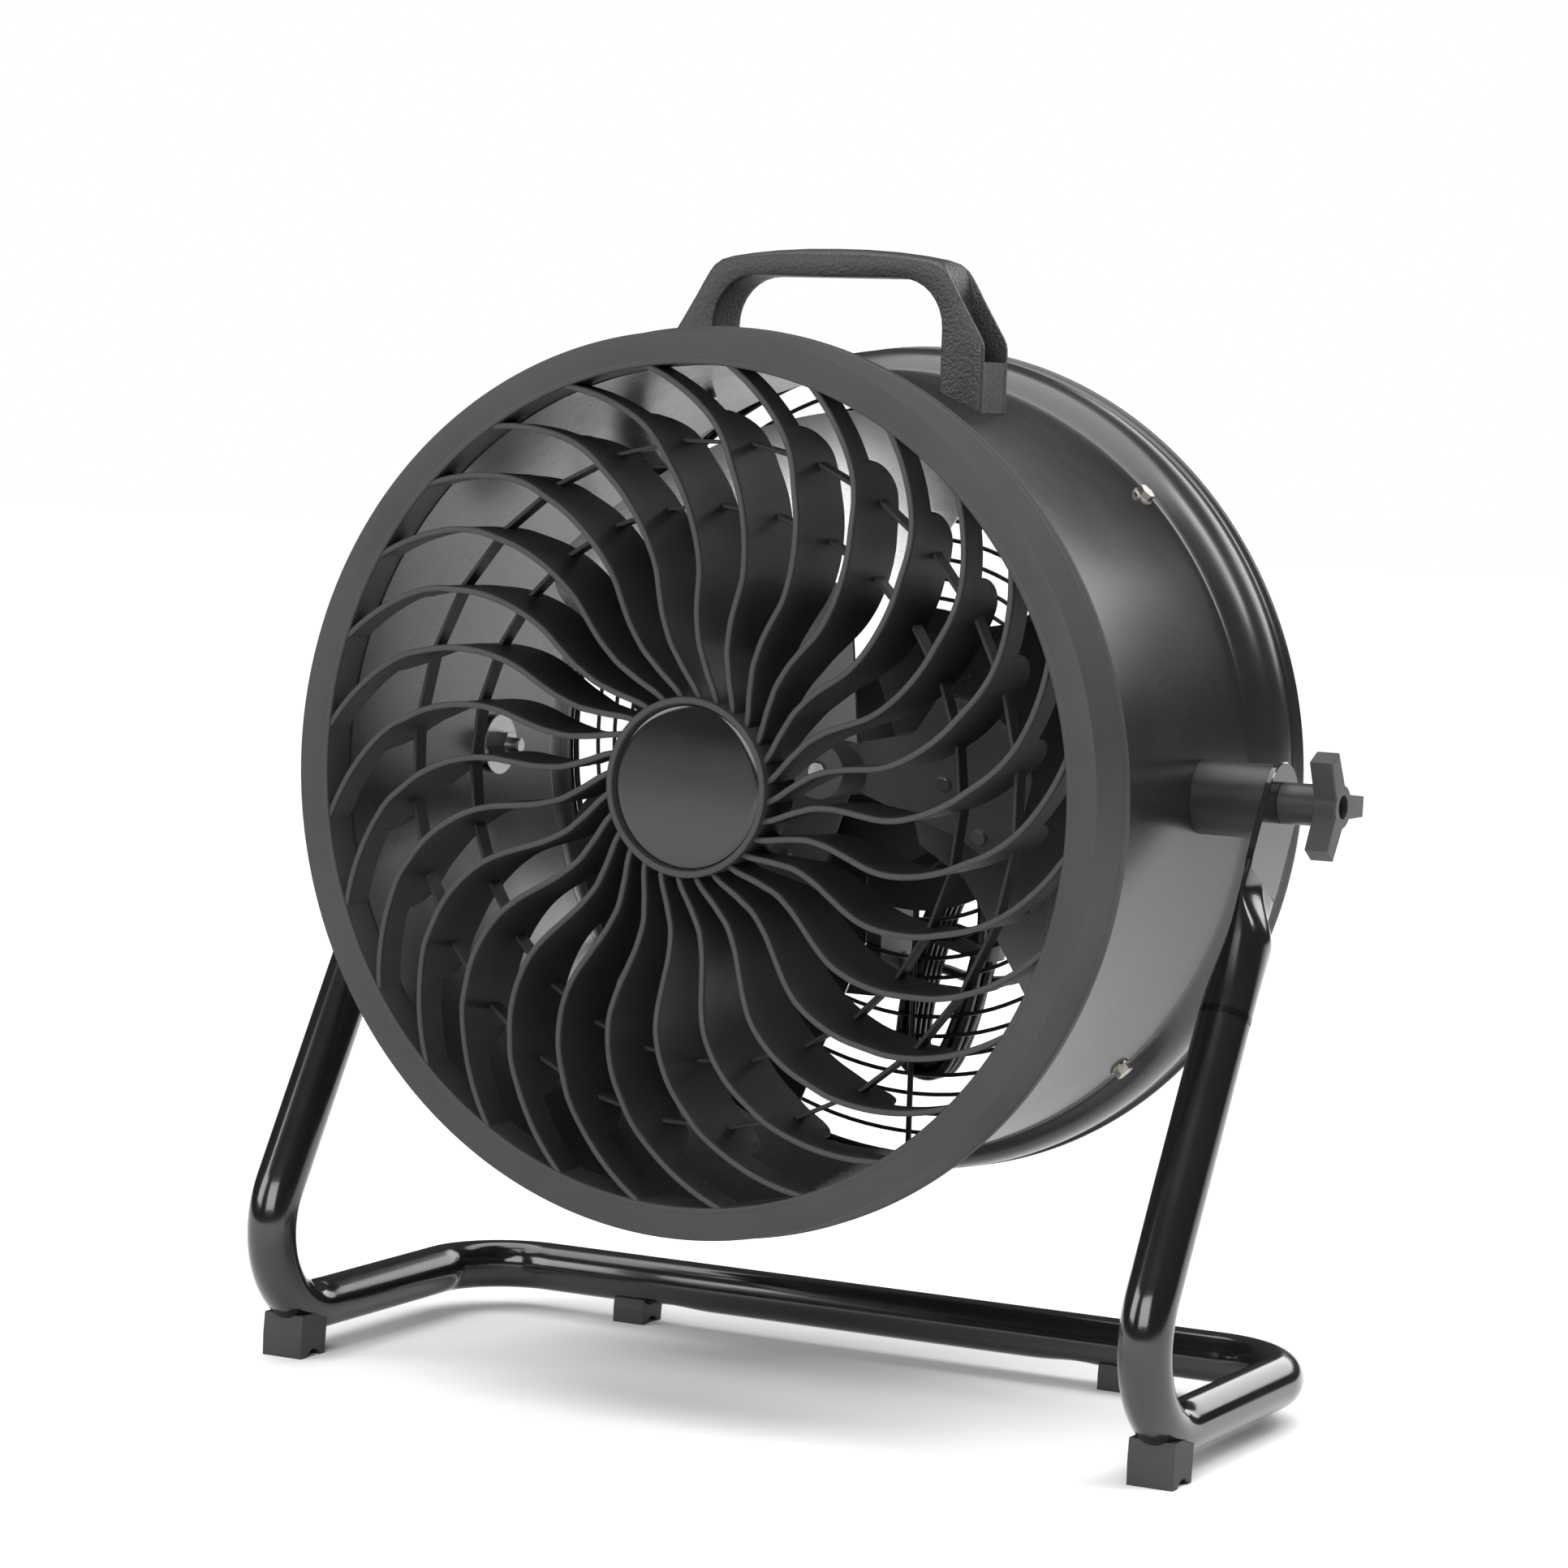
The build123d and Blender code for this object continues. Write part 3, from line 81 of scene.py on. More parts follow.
def material(name, colour, rough, metallic=0.0, grain=900.0, bump=0.0, tint=0.15, smudge=0.08, coat=0.0,
             specular=0.5, soft_edge=0.0, wear=0.0):
    """A procedural surface: grain in colour and height, slow smudges in gloss, and pale worn edges."""
    made = bpy.data.materials.new(name)
    made.use_nodes = True
    tree = made.node_tree
    nodes, link = tree.nodes, tree.links.new
    shader = nodes["Principled BSDF"]
    shader.inputs["Metallic"].default_value = metallic
    shader.inputs["Coat Weight"].default_value = coat
    shader.inputs["Coat Roughness"].default_value = 0.08
    shader.inputs["Specular IOR Level"].default_value = specular
    place = nodes.new("ShaderNodeTexCoord")

    fine = nodes.new("ShaderNodeTexNoise")
    fine.inputs["Scale"].default_value = grain
    fine.inputs["Detail"].default_value = 3
    link(place.outputs["Object"], fine.inputs["Vector"])
    slow = nodes.new("ShaderNodeTexNoise")
    slow.inputs["Scale"].default_value = 14
    slow.inputs["Detail"].default_value = 5
    slow.inputs["Roughness"].default_value = 0.6
    link(place.outputs["Object"], slow.inputs["Vector"])

    both = nodes.new("ShaderNodeMath")
    both.operation = "ADD"
    link(fine.outputs["Fac"], both.inputs[0])
    link(slow.outputs["Fac"], both.inputs[1])
    shade = nodes.new("ShaderNodeMapRange")
    shade.inputs["From Min"].default_value = 0.6
    shade.inputs["From Max"].default_value = 1.4
    link(both.outputs[0], shade.inputs["Value"])
    blend = nodes.new("ShaderNodeMix")
    blend.data_type = "RGBA"
    dark = [channel * (1 - tint) for channel in colour]
    light = [min(channel * (1 + tint), 1) for channel in colour]
    blend.inputs["A"].default_value = (*dark, 1)
    blend.inputs["B"].default_value = (*light, 1)
    link(shade.outputs["Result"], blend.inputs["Factor"])
    colour_out = blend.outputs["Result"]

    if wear:
        edge = nodes.new("ShaderNodeNewGeometry")
        worn = nodes.new("ShaderNodeMapRange")
        worn.inputs["From Min"].default_value = 0.54
        worn.inputs["From Max"].default_value = 0.66
        worn.inputs["To Max"].default_value = wear
        link(edge.outputs["Pointiness"], worn.inputs["Value"])
        over_edge = nodes.new("ShaderNodeMix")
        over_edge.data_type = "RGBA"
        link(worn.outputs["Result"], over_edge.inputs["Factor"])
        link(colour_out, over_edge.inputs["A"])
        pale = [min(channel * 3 + 0.03, 1) for channel in colour]
        over_edge.inputs["B"].default_value = (*pale, 1)
        colour_out = over_edge.outputs["Result"]
    link(colour_out, shader.inputs["Base Color"])

    gloss = nodes.new("ShaderNodeMapRange")
    gloss.inputs["From Min"].default_value = 0.3
    gloss.inputs["From Max"].default_value = 0.7
    gloss.inputs["To Min"].default_value = max(rough - smudge, 0.03)
    gloss.inputs["To Max"].default_value = min(rough + smudge, 1)
    link(slow.outputs["Fac"], gloss.inputs["Value"])
    link(gloss.outputs["Result"], shader.inputs["Roughness"])

    normal = None
    if soft_edge:
        normal = nodes.new("ShaderNodeBevel")
        normal.samples = 4
        normal.inputs["Radius"].default_value = soft_edge * MM
    if bump:
        raised = nodes.new("ShaderNodeBump")
        raised.inputs["Distance"].default_value = bump * MM
        raised.inputs["Strength"].default_value = 0.6
        link(fine.outputs["Fac"], raised.inputs["Height"])
        if normal:
            link(normal.outputs["Normal"], raised.inputs["Normal"])
        normal = raised
    if normal:
        link(normal.outputs["Normal"], shader.inputs["Normal"])
    return made


looks = {
    "stand_paint": material("stand_paint", (0.006, 0.006, 0.0065), 0.17, grain=1500, bump=0.02,
                            smudge=0.05, coat=0.4, wear=0.02),
    "drum_paint": material("drum_paint", (0.012, 0.012, 0.0125), 0.27, grain=1200, bump=0.015, smudge=0.03,
                           specular=0.7),
    "grille_plastic": material("grille_plastic", (0.03, 0.03, 0.031), 0.5, grain=1700, bump=0.1,
                               smudge=0.04, tint=0.25, specular=0.3),
    "badge_plastic": material("badge_plastic", (0.01, 0.01, 0.0105), 0.12, grain=1500, bump=0.01,
                              smudge=0.05),
    "guard_paint": material("guard_paint", (0.01, 0.01, 0.01), 0.35, grain=1500, bump=0.02),
    "bracket_paint": material("bracket_paint", (0.012, 0.012, 0.012), 0.4, grain=1500, bump=0.03,
                              soft_edge=0.4),
    "nickel": material("nickel", (0.42, 0.39, 0.35), 0.26, metallic=1, grain=1800, bump=0.02, soft_edge=0.4),
    "zinc": material("zinc", (0.55, 0.55, 0.54), 0.33, metallic=1, grain=1800, bump=0.03, soft_edge=0.3),
    "handle_plastic": material("handle_plastic", (0.022, 0.022, 0.0225), 0.42, grain=620, bump=0.9,
                               tint=0.2),
    "foot_plastic": material("foot_plastic", (0.024, 0.024, 0.024), 0.55, grain=1300, bump=0.16,
                             tint=0.25, soft_edge=0.6),
    "blade_metal": material("blade_metal", (0.42, 0.42, 0.43), 0.24, metallic=1, grain=700, bump=0.02,
                            smudge=0.06),
    "spider_paint": material("spider_paint", (0.09, 0.09, 0.092), 0.42, grain=900, bump=0.05, tint=0.2,
                             soft_edge=0.4),
    "blackened": material("blackened", (0.04, 0.04, 0.042), 0.4, metallic=0.8, grain=1800, bump=0.03),
    "ground_steel": material("ground_steel", (0.5, 0.5, 0.5), 0.25, metallic=1, grain=1800, bump=0.02,
                             soft_edge=0.3),
    "lamination": material("lamination", (0.2, 0.19, 0.18), 0.45, metallic=1, grain=2500, bump=0.05),
    "motor_paint": material("motor_paint", (0.014, 0.014, 0.015), 0.38, grain=1000, bump=0.05, soft_edge=0.6),
    "copper": material("copper", (0.45, 0.17, 0.06), 0.35, metallic=0.8, grain=2600, bump=0.2),
    "spacer_plastic": material("spacer_plastic", (0.012, 0.012, 0.0125), 0.45, grain=1800, bump=0.04,
                               soft_edge=0.6),
    "knob_plastic": material("knob_plastic", (0.026, 0.026, 0.027), 0.4, grain=1500, bump=0.1, tint=0.25,
                             soft_edge=0.5, specular=0.4),
    "box_plastic": material("box_plastic", (0.012, 0.012, 0.0125), 0.42, grain=1600, bump=0.1, soft_edge=0.5),
    "switch_plastic": material("switch_plastic", (0.5, 0.47, 0.4), 0.5, grain=1500, bump=0.05),
    "capacitor_case": material("capacitor_case", (0.02, 0.02, 0.022), 0.25, grain=1500, bump=0.02,
                               soft_edge=0.4),
    "spindle_metal": material("spindle_metal", (0.6, 0.45, 0.2), 0.3, metallic=1, grain=1500, bump=0.03),
    "relief_plastic": material("relief_plastic", (0.12, 0.12, 0.12), 0.45, grain=1800, bump=0.05,
                               soft_edge=0.3),
    "cord_jacket": material("cord_jacket", (0.008, 0.008, 0.008), 0.38, grain=1600, bump=0.05),
    "tie_plastic": material("tie_plastic", (0.02, 0.02, 0.02), 0.4, grain=1600, bump=0.05),
    "plug_plastic": material("plug_plastic", (0.012, 0.012, 0.012), 0.42, grain=1600, bump=0.08,
                             soft_edge=0.8),
}
slot_of = {entry["node"]: entry["material_slot"] for entry in frame["record"]["subparts"]}
for node_name, node in frame["nodes"].items():
    node.data.materials.clear()
    node.data.materials.append(looks[slot_of[node_name]])

# ---- making pieces ------------------------------------------------------------------


def add_piece(name, mesh, look, body, *nodes, sharp=32):
    """Turn a mesh into a smooth piece that rides on a body and stands for CAD nodes."""
    shaped = bmesh.new()
    shaped.from_mesh(mesh)
    bmesh.ops.remove_doubles(shaped, verts=shaped.verts, dist=1e-7)
    bmesh.ops.recalc_face_normals(shaped, faces=shaped.faces)
    shaped.to_mesh(mesh)
    shaped.free()
    mesh.shade_smooth()
    mesh.set_sharp_from_angle(angle=math.radians(sharp))
    piece = bpy.data.objects.new(name, mesh)
    bpy.context.collection.objects.link(piece)
    piece.data.materials.append(looks[look])
    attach(piece, body)
    if nodes:
        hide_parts(*nodes)
    return piece


def grid_faces(rows, columns, offset=0, close_rows=False):
    """Quads between rows of points, each row a closed ring."""
    faces = []
    last = rows if close_rows else rows - 1
    for row in range(last):
        for column in range(columns):
            here = offset + row * columns
            there = offset + (row + 1) % rows * columns
            after = (column + 1) % columns
            faces.append((here + column, here + after, there + after, there + column))
    return faces


def from_sections(name, sections, close=False, caps=True):
    """A skin over closed sections of equal point count."""
    count = len(sections[0])
    points = [point for section in sections for point in section]
    faces = grid_faces(len(sections), count, close_rows=close)
    if caps and not close:
        faces.append(tuple(range(count)))
        faces.append(tuple(reversed(range(len(points) - count, len(points)))))
    mesh = bpy.data.meshes.new(name)
    mesh.from_pydata(points, [], faces)
    return mesh


def lathe(name, profile, steps=256):
    """A closed (radius, y) profile in millimetres turned about the fan axis."""
    sections = []
    for step in range(steps):
        angle = 2 * math.pi * step / steps
        sections.append([head(r * math.cos(angle), y, r * math.sin(angle)) for r, y in profile])
    return from_sections(name, sections, close=True)


def join(name, meshes):
    """One mesh from several."""
    whole = bmesh.new()
    for mesh in meshes:
        whole.from_mesh(mesh)
    joined = bpy.data.meshes.new(name)
    whole.to_mesh(joined)
    whole.free()
    return joined


def corner_arc(centre, radius, start, end, steps=6):
    """Points of a circular arc in a plane, from angles in degrees."""
    points = []
    for step in range(steps + 1):
        angle = math.radians(start + (end - start) * step / steps)
        points.append((centre[0] + radius * math.cos(angle), centre[1] + radius * math.sin(angle)))
    return points


def smooth_step(value, low, high):
    """0 below low, 1 above high and smooth between."""
    share = min(max((value - low) / (high - low), 0), 1)
    return share * share * (3 - 2 * share)


def curve_through(pairs, x):
    """A smooth value at x from (x, value) pairs."""
    if x <= pairs[0][0]:
        return pairs[0][1]
    for (x0, y0), (x1, y1) in zip(pairs, pairs[1:]):
        if x <= x1:
            index = pairs.index((x0, y0))
            before = pairs[max(index - 1, 0)]
            after = pairs[min(index + 2, len(pairs) - 1)]
            m0 = (y1 - before[1]) / (x1 - before[0])
            m1 = (after[1] - y0) / (after[0] - x0)
            width = x1 - x0
            t = (x - x0) / width
            return ((2 * t**3 - 3 * t**2 + 1) * y0 + (t**3 - 2 * t**2 + t) * width * m0
                    + (3 * t**2 - 2 * t**3) * y1 + (t**3 - t**2) * width * m1)
    return pairs[-1][1]


# ---- front grille -------------------------------------------------------------------
VANES = 28
VANE_PHASE = 8.7
GRILLE_FRONT = -157.0       # the plane that the depths of vanes and ribs are counted from
# A vane's middle line as (radius, angle in degrees), and its front edge as (radius, y).
SWEEP = [(41.5, -2.0), (45.0, 0.0), (55.0, 7.2), (64.7, 11.5), (69.5, 12.8), (79.5, 13.6), (84.4, 13.6),
         (94.3, 13.2), (104.1, 12.9), (114.1, 13.4), (123.8, 14.6), (133.8, 16.3), (143.5, 18.3),
         (153.5, 20.8), (163.2, 23.1), (173.2, 26.2), (183.0, 29.9), (192.9, 34.2), (200.5, 37.9)]
DOME = [(41.0, -151.5), (50.0, -153.0), (70.0, -155.4), (89.0, -159.0), (104.0, -161.3), (117.0, -164.0),
        (138.0, -164.9), (159.0, -162.6), (174.0, -158.9), (190.0, -157.8), (201.0, -157.6)]
VANE_ROOT_DEPTH = 30.0
VANE_STEP_DEPTH = 25.0      # the front part of the web is thicker down to here
VANE_DEPTH = 42.0
VANE_END_DEPTH = 19.5
LOBE_R = 177.5              # the vanes' back edge turns forward in a rounded lobe
LOBE = 11.0


def vane_point(radius):
    """Where a vane's middle line passes at a radius, in the head's (x, z) millimetres."""
    angle = math.radians(curve_through(SWEEP, radius))
    return Vector((radius * math.cos(angle), radius * math.sin(angle)))


def vane_section(radius):
    """One closed section of a vane: a rounded front lip, a stepped web and a thin back edge."""
    ahead = vane_point(radius + 0.4) - vane_point(radius - 0.4)
    side = Vector((-ahead.y, ahead.x)).normalized()
    middle = vane_point(radius)
    front = curve_through(DOME, radius)
    depth = VANE_ROOT_DEPTH + (VANE_DEPTH - VANE_ROOT_DEPTH) * smooth_step(radius, 45, 80)
    if radius > LOBE_R - LOBE:
        share = min((radius - LOBE_R + LOBE) / LOBE, 1)
        depth = VANE_END_DEPTH + (VANE_DEPTH - VANE_END_DEPTH) * math.sqrt(1 - share * share)
    back_y = GRILLE_FRONT + depth
    step_y = min(GRILLE_FRONT + VANE_STEP_DEPTH, back_y - 2.5)
    half = [(0.0, front), (0.75, front + 0.15), (1.3, front + 0.65), (1.5, front + 1.4), (1.45, front + 3.0),
            (1.15, front + 3.6), (1.1, step_y), (0.7, step_y + 0.7), (0.65, back_y - 0.6), (0.35, back_y)]
    loop = half + [(-offset, y) for offset, y in reversed(half[1:])]
    points = []
    for offset, y in loop:
        place = middle + side * offset
        points.append((place.x, y, place.y))
    return points


radii = [41.5 + step * 3.1 for step in range(40)]
radii += [LOBE_R - LOBE + LOBE * math.sin(math.radians(10 * step)) for step in range(10)]
radii += [LOBE_R + 0.6 + step * 3.2 for step in range(8)]
vane_sections = [vane_section(radius) for radius in radii]
RIB_PLACES = ((133.0, 25.5), (164.0, 21.5))      # (radius, depth of the front edge)
RIB_SECTION = ((-1.0, 0.3), (-0.7, 0), (0.7, 0), (1.0, 0.3), (0.75, 9.2), (0.5, 9.5), (-0.5, 9.5),
               (-0.75, 9.2))


def turned_point(point, angle):
    """A head point turned about the fan axis, counter-clockwise seen from the front."""
    x, y, z = point
    return head(x * math.cos(angle) - z * math.sin(angle), y, x * math.sin(angle) + z * math.cos(angle))


grille_parts = []
for index in range(VANES):
    angle = math.radians(VANE_PHASE + index * 360 / VANES)
    turned = [[turned_point(point, angle) for point in section] for section in vane_sections]
    grille_parts.append(from_sections("vane", turned))
    for rib_radius, rib_front in RIB_PLACES:
        start = vane_point(rib_radius)
        span = 2 * math.pi / VANES
        end = Vector((start.x * math.cos(span) - start.y * math.sin(span),
                      start.x * math.sin(span) + start.y * math.cos(span)))
        outward = (start + end).normalized()
        rib = []
        for place in (start, end):
            rib.append([turned_point((place.x + outward.x * dx, GRILLE_FRONT + rib_front + dy,
                                      place.y + outward.y * dx), angle)
                        for dx, dy in RIB_SECTION])
        grille_parts.append(from_sections("rib", rib))

ring_profile = ([(199.1, -156.2)] + corner_arc((200.3, -157.3), 1.2, 180, 270, 4)
                + [(201.6, -158.5), (202.2, -158.2), (203.0, -158.4), (214.0, -158.5), (214.6, -158.3),
                   (214.8, -157.8), (216.8, -134.5), (217.1, -133.9), (217.4, -133.4), (217.4, -127.8),
                   (217.0, -127.2), (215.2, -127.2), (212.4, -154.5), (201.5, -154.5), (201.4, -137.6),
                   (199.3, -137.6)])
grille_parts.append(lathe("ring", ring_profile, 320))
hub_profile = [(0.4, -151.6), (39.5, -151.6), (39.7, -154.2), (40.2, -154.8), (42.0, -155.0), (42.7, -154.6),
               (43.0, -153.8), (43.0, -125.6), (42.2, -125.0), (40.4, -125.0), (40.4, -149.6), (0.4, -149.6)]
grille_parts.append(lathe("hub", hub_profile, 160))
add_piece("grille_body", join("grille_body", grille_parts), "grille_plastic", "head", "front_grille")

badge_profile = [(0.2, -151.6), (0.2, -152.9), (36.0, -152.75), (38.4, -152.5), (39.0, -152.1),
                 (39.1, -151.6)]
add_piece("badge_cap", lathe("badge_cap", badge_profile, 128), "badge_plastic", "head", "hub_badge")

# ---- drum ---------------------------------------------------------------------------
drum_outside = [(200.0, -137.5), (200.0, 54.0), (200.6, 55.6), (202.4, 57.2), (205.6, 60.4), (208.6, 64.0),
                (210.4, 68.0), (211.6, 73.5), (212.0, 79.0), (211.5, 84.0), (210.4, 87.0), (210.0, 89.0),
                (210.3, 91.0), (211.4, 92.6)]
drum_lip = corner_arc((211.2, 94.9), 2.1, -70, 180, 12)
drum_inside = [(209.0, 87.5), (210.2, 84.0), (210.8, 79.0), (210.4, 73.8), (209.3, 68.5), (207.6, 64.8),
               (204.8, 61.4), (201.6, 58.2), (199.5, 56.2), (198.9, 54.2), (198.9, -137.5)]
drum_mesh = lathe("drum_shell", drum_outside + drum_lip + drum_inside, 288)
add_piece("drum_shell", drum_mesh, "drum_paint", "head", "drum", sharp=50)

# ---- stand --------------------------------------------------------------------------
TUBE_R = 12.7
LEG_X = 239.4
RUN_Z = 22.6 - PIVOT.z / MM
CROSSBAR_Y = 64.0
SLOPE = 0.60                # how far a leg goes forward for each millimetre down
FRONT_CORNER_Y = SLOPE * RUN_Z
BEND_R = 44.5
TUBE_SIDES = 48
ROUND_START = 112.0         # distances below the pivot, along a leg: the tube is round from here,
PLATE_END = 46.0            # flat down to here,
OUTER_ROUND = 76.0          # and its outer half is round again from here
PLATE_T = 3.4
PLATE_HALF = 19.5
BEND_FLAT = 2.2             # how far the inside of a bend is pressed in
CREASE = 3.4                # the crease and the ridge inside each front bend
RIDGE = 1.6
CORNER_CREASE = 1.6
DENT = 1.7                  # the dents under the crossbar, and where they are
DENT_X = 118.0
leg_down = Vector((0, -SLOPE, -1)).normalized()
leg_side = Vector((0, -leg_down.z, leg_down.y))


def rounded_path(corners, radius, step=2.5):
    """Points along runs joined by arcs: (place, direction, None or (bend number, share, inward))."""
    path = []
    cursor = corners[0]
    bend = 0
    for before, corner, after in zip(corners, corners[1:], corners[2:]):
        into = (corner - before).normalized()
        out = (after - corner).normalized()
        turn = into.angle(out)
        reach = radius * math.tan(turn / 2)
        arc_start = corner - into * reach
        length = (arc_start - cursor).length
        steps = max(int(length / (step * 2)), 2)
        for index in range(steps):
            path.append((cursor.lerp(arc_start, index / steps), into, None))
        inward = (out - into).normalized()
        centre = corner + inward * (radius / math.cos(turn / 2))
        axis = into.cross(out).normalized()
        steps = max(int(radius * turn / step), 8)
        for index in range(steps):
            spin = Matrix.Rotation(turn * index / steps, 3, axis)
            arm = spin @ (arc_start - centre)
            path.append((centre + arm, spin @ into, (bend, index / steps, -arm.normalized())))
        cursor = corner + out * reach
        bend += 1
    into = (corners[-1] - corners[-2]).normalized()
    steps = max(int((corners[-1] - cursor).length / (step * 2)), 2)
    for index in range(steps + 1):
        path.append((cursor.lerp(corners[-1], index / steps), into, None))
    return path


def leg_place(side, distance):
    """A point on a leg's middle line below the pivot, in head millimetres."""
    return Vector((side * LEG_X, 0, 0)) + leg_down * distance


corners = [leg_place(-1, ROUND_START), Vector((-LEG_X, FRONT_CORNER_Y, RUN_Z)),
           Vector((-LEG_X, CROSSBAR_Y, RUN_Z)), Vector((LEG_X, CROSSBAR_Y, RUN_Z)),
           Vector((LEG_X, FRONT_CORNER_Y, RUN_Z)), leg_place(1, ROUND_START)]
tube_path = rounded_path(corners, BEND_R)
tube_sections = []
normal = Vector((1, 0, 0))
for place, direction, bend in tube_path:
    normal = (normal - direction * normal.dot(direction)).normalized()
    side = direction.cross(normal)
    section = []
    for index in range(TUBE_SIDES):
        angle = 2 * math.pi * index / TUBE_SIDES
        out = normal * math.cos(angle) + side * math.sin(angle)
        reach = TUBE_R
        if bend:
            number, share, inward = bend
            facing = max(out.dot(inward), 0)
            middle = math.sin(math.pi * share)
            reach -= BEND_FLAT * facing**2 * middle
            if number in (0, 3):
                end_share = share if number == 0 else 1 - share
                crease = math.exp(-((end_share - 0.86) / 0.09)**2)
                reach -= CREASE * facing**4 * crease
                reach += RIDGE * facing**4 * math.exp(-((end_share - 0.70) / 0.07)**2)
            else:
                end_share = share if number == 1 else 1 - share
                reach -= CORNER_CREASE * facing**3 * math.exp(-((end_share - 0.15) / 0.08)**2)
        under = max(-out.z, 0)
        for dent_x in (-DENT_X, DENT_X):
            if abs(direction.x) > 0.9:
                reach -= DENT * under**6 * math.exp(-((place.x - dent_x) / 13)**2)
        section.append(head(*(place + out * reach)))
    tube_sections.append(section)
stand_parts = [from_sections("tube", tube_sections)]

plate_thick = PLATE_T / 2
plate_profile = [(4.6, -plate_thick), (4.6, plate_thick), (PLATE_HALF - 0.5, plate_thick),
                 (PLATE_HALF, plate_thick - 0.5), (PLATE_HALF, 0.5 - plate_thick),
                 (PLATE_HALF - 0.5, -plate_thick)]
SPOON_STEPS = 60
TIP_STEPS = 96
for side in (-1, 1):
    spoon = []
    for step in range(SPOON_STEPS + 1):
        distance = ROUND_START + 4 - (ROUND_START - PLATE_END + 10) * step / SPOON_STEPS
        flat = 1 - smooth_step(distance, PLATE_END, OUTER_ROUND)
        half_across = PLATE_HALF + (TUBE_R - PLATE_HALF) * smooth_step(distance, PLATE_END, ROUND_START)
        inner = smooth_step(distance, PLATE_END, ROUND_START)
        section = []
        for index in range(TUBE_SIDES):
            angle = 2 * math.pi * index / TUBE_SIDES
            cos_a, sin_a = math.cos(angle), math.sin(angle)
            outer = smooth_step(distance, PLATE_END - 4 + 12 * abs(sin_a), OUTER_ROUND)
            opened = outer if cos_a > 0 else inner
            half_thick = PLATE_T / 2 + (TUBE_R - PLATE_T / 2) * opened
            thick = math.copysign(abs(cos_a)**(1 - 0.6 * flat), cos_a) * half_thick
            place = leg_down * distance + leg_side * (sin_a * half_across)
            section.append(head(*(place + Vector((side * (LEG_X + thick), 0, 0)))))
        spoon.append(section)
    stand_parts.append(from_sections("spoon", spoon))
    tip = []
    for step in range(TIP_STEPS):
        angle = 2 * math.pi * step / TIP_STEPS
        cos_a, sin_a = math.cos(angle), math.sin(angle)
        ray = leg_down * cos_a + leg_side * sin_a
        section = []
        for radius, height in plate_profile:
            reach = radius
            if radius > 10 and cos_a > 0:
                reach = min(radius / max(abs(sin_a), 1e-3), (PLATE_END - PLATE_HALF + radius - 2) / cos_a)
            section.append(head(*(ray * reach + Vector((side * (LEG_X + height), 0, 0)))))
        tip.append(section)
    stand_parts.append(from_sections("tip", tip, close=True))
add_piece("stand_frame", join("stand_frame", stand_parts), "stand_paint", "stand", "stand_tube", sharp=40)

# ---- handle -------------------------------------------------------------------------
HANDLE_FRONT = -27.0
HANDLE_BACK = 3.0
OPENING_HALF = 63.2         # the grip opening: its half width, its top and its corner radius
OPENING_TOP = 244.8
OPENING_R = 24.0
BLOCK_TOP = 205.0           # the recess of each side wall starts above a solid block
RECESS = 13.0


def handle_line(inner):
    """The handle's inner or outer outline, from drum to drum over the top."""
    if inner:
        line = [(OPENING_HALF, z) for z in (189.8, 192, 200, 203, 206, 210, 214, 218)]
        line += corner_arc((OPENING_HALF - OPENING_R, OPENING_TOP - OPENING_R), OPENING_R, 0, 90, 8)
        line += [(x, OPENING_TOP) for x in (28, 18, 8, 0)]
    else:
        line = [(86.3, 180.4)] + [(86.3, z) for z in (193, 204.6, BLOCK_TOP, BLOCK_TOP + 0.1, 209)]
        line += [(86.2, 212), (85.6, 214.6), (84.2, 217.4), (81.0, 222.4), (77.0, 228.8), (73.0, 235.2),
                 (69.3, 241.6), (66.4, 246.2), (64.2, 249.8), (61.2, 252.9), (56.0, 254.6), (46, 256.2),
                 (32, 257.7), (16, 258.6), (0, 258.8)]
    return line + [(-x, z) for x, z in reversed(line[:-1])]


# Half sections of the handle, from its front face to its middle, as (below the outside, from the middle).
WALL = [(2.0, 15.0), (0.8, 14.7), (0.1, 13.9), (0.0, 13.0), (0.2, 12.0), (0.3, 11.6), (0.3, 8.0), (0.3, 2.0)]
CROWN = [(6.0, 15.0), (4.2, 14.7), (2.7, 13.7), (1.6, 12.0), (0.8, 9.6), (0.35, 7.0), (0.1, 4.2), (0.0, 1.5)]
handle_middle = (HANDLE_FRONT + HANDLE_BACK) / 2
handle_sections = []
for (ix, iz), (ox, oz) in zip(handle_line(True), handle_line(False)):
    across = Vector((ox - ix, oz - iz))
    length = across.length
    across.normalize()
    top = smooth_step(oz, 247, 257)
    recess = RECESS * (1 - smooth_step(oz, 216, 251)) if oz > BLOCK_TOP else 0
    half = [(0.0, 9.0), (0.0, 12.6), (0.6, 14.4), (2.0, 15.0)]
    for index, ((wall, wall_y), (crown, crown_y)) in enumerate(zip(WALL, CROWN)):
        below = wall + (recess if index > 4 else 0)
        half.append((length - below + (below - crown) * top, wall_y + (crown_y - wall_y) * top))
    loop = [(reach, handle_middle - y) for reach, y in half]
    loop += [(reach, handle_middle + y) for reach, y in reversed(half)]
    loop += [(0.0, handle_middle + 5.0), (0.0, handle_middle), (0.0, handle_middle - 5.0)]
    handle_sections.append([head(ix + across.x * reach, y, iz + across.y * reach) for reach, y in loop])
add_piece("handle_grip", from_sections("handle_grip", handle_sections), "handle_plastic", "head", "handle",
          sharp=38)

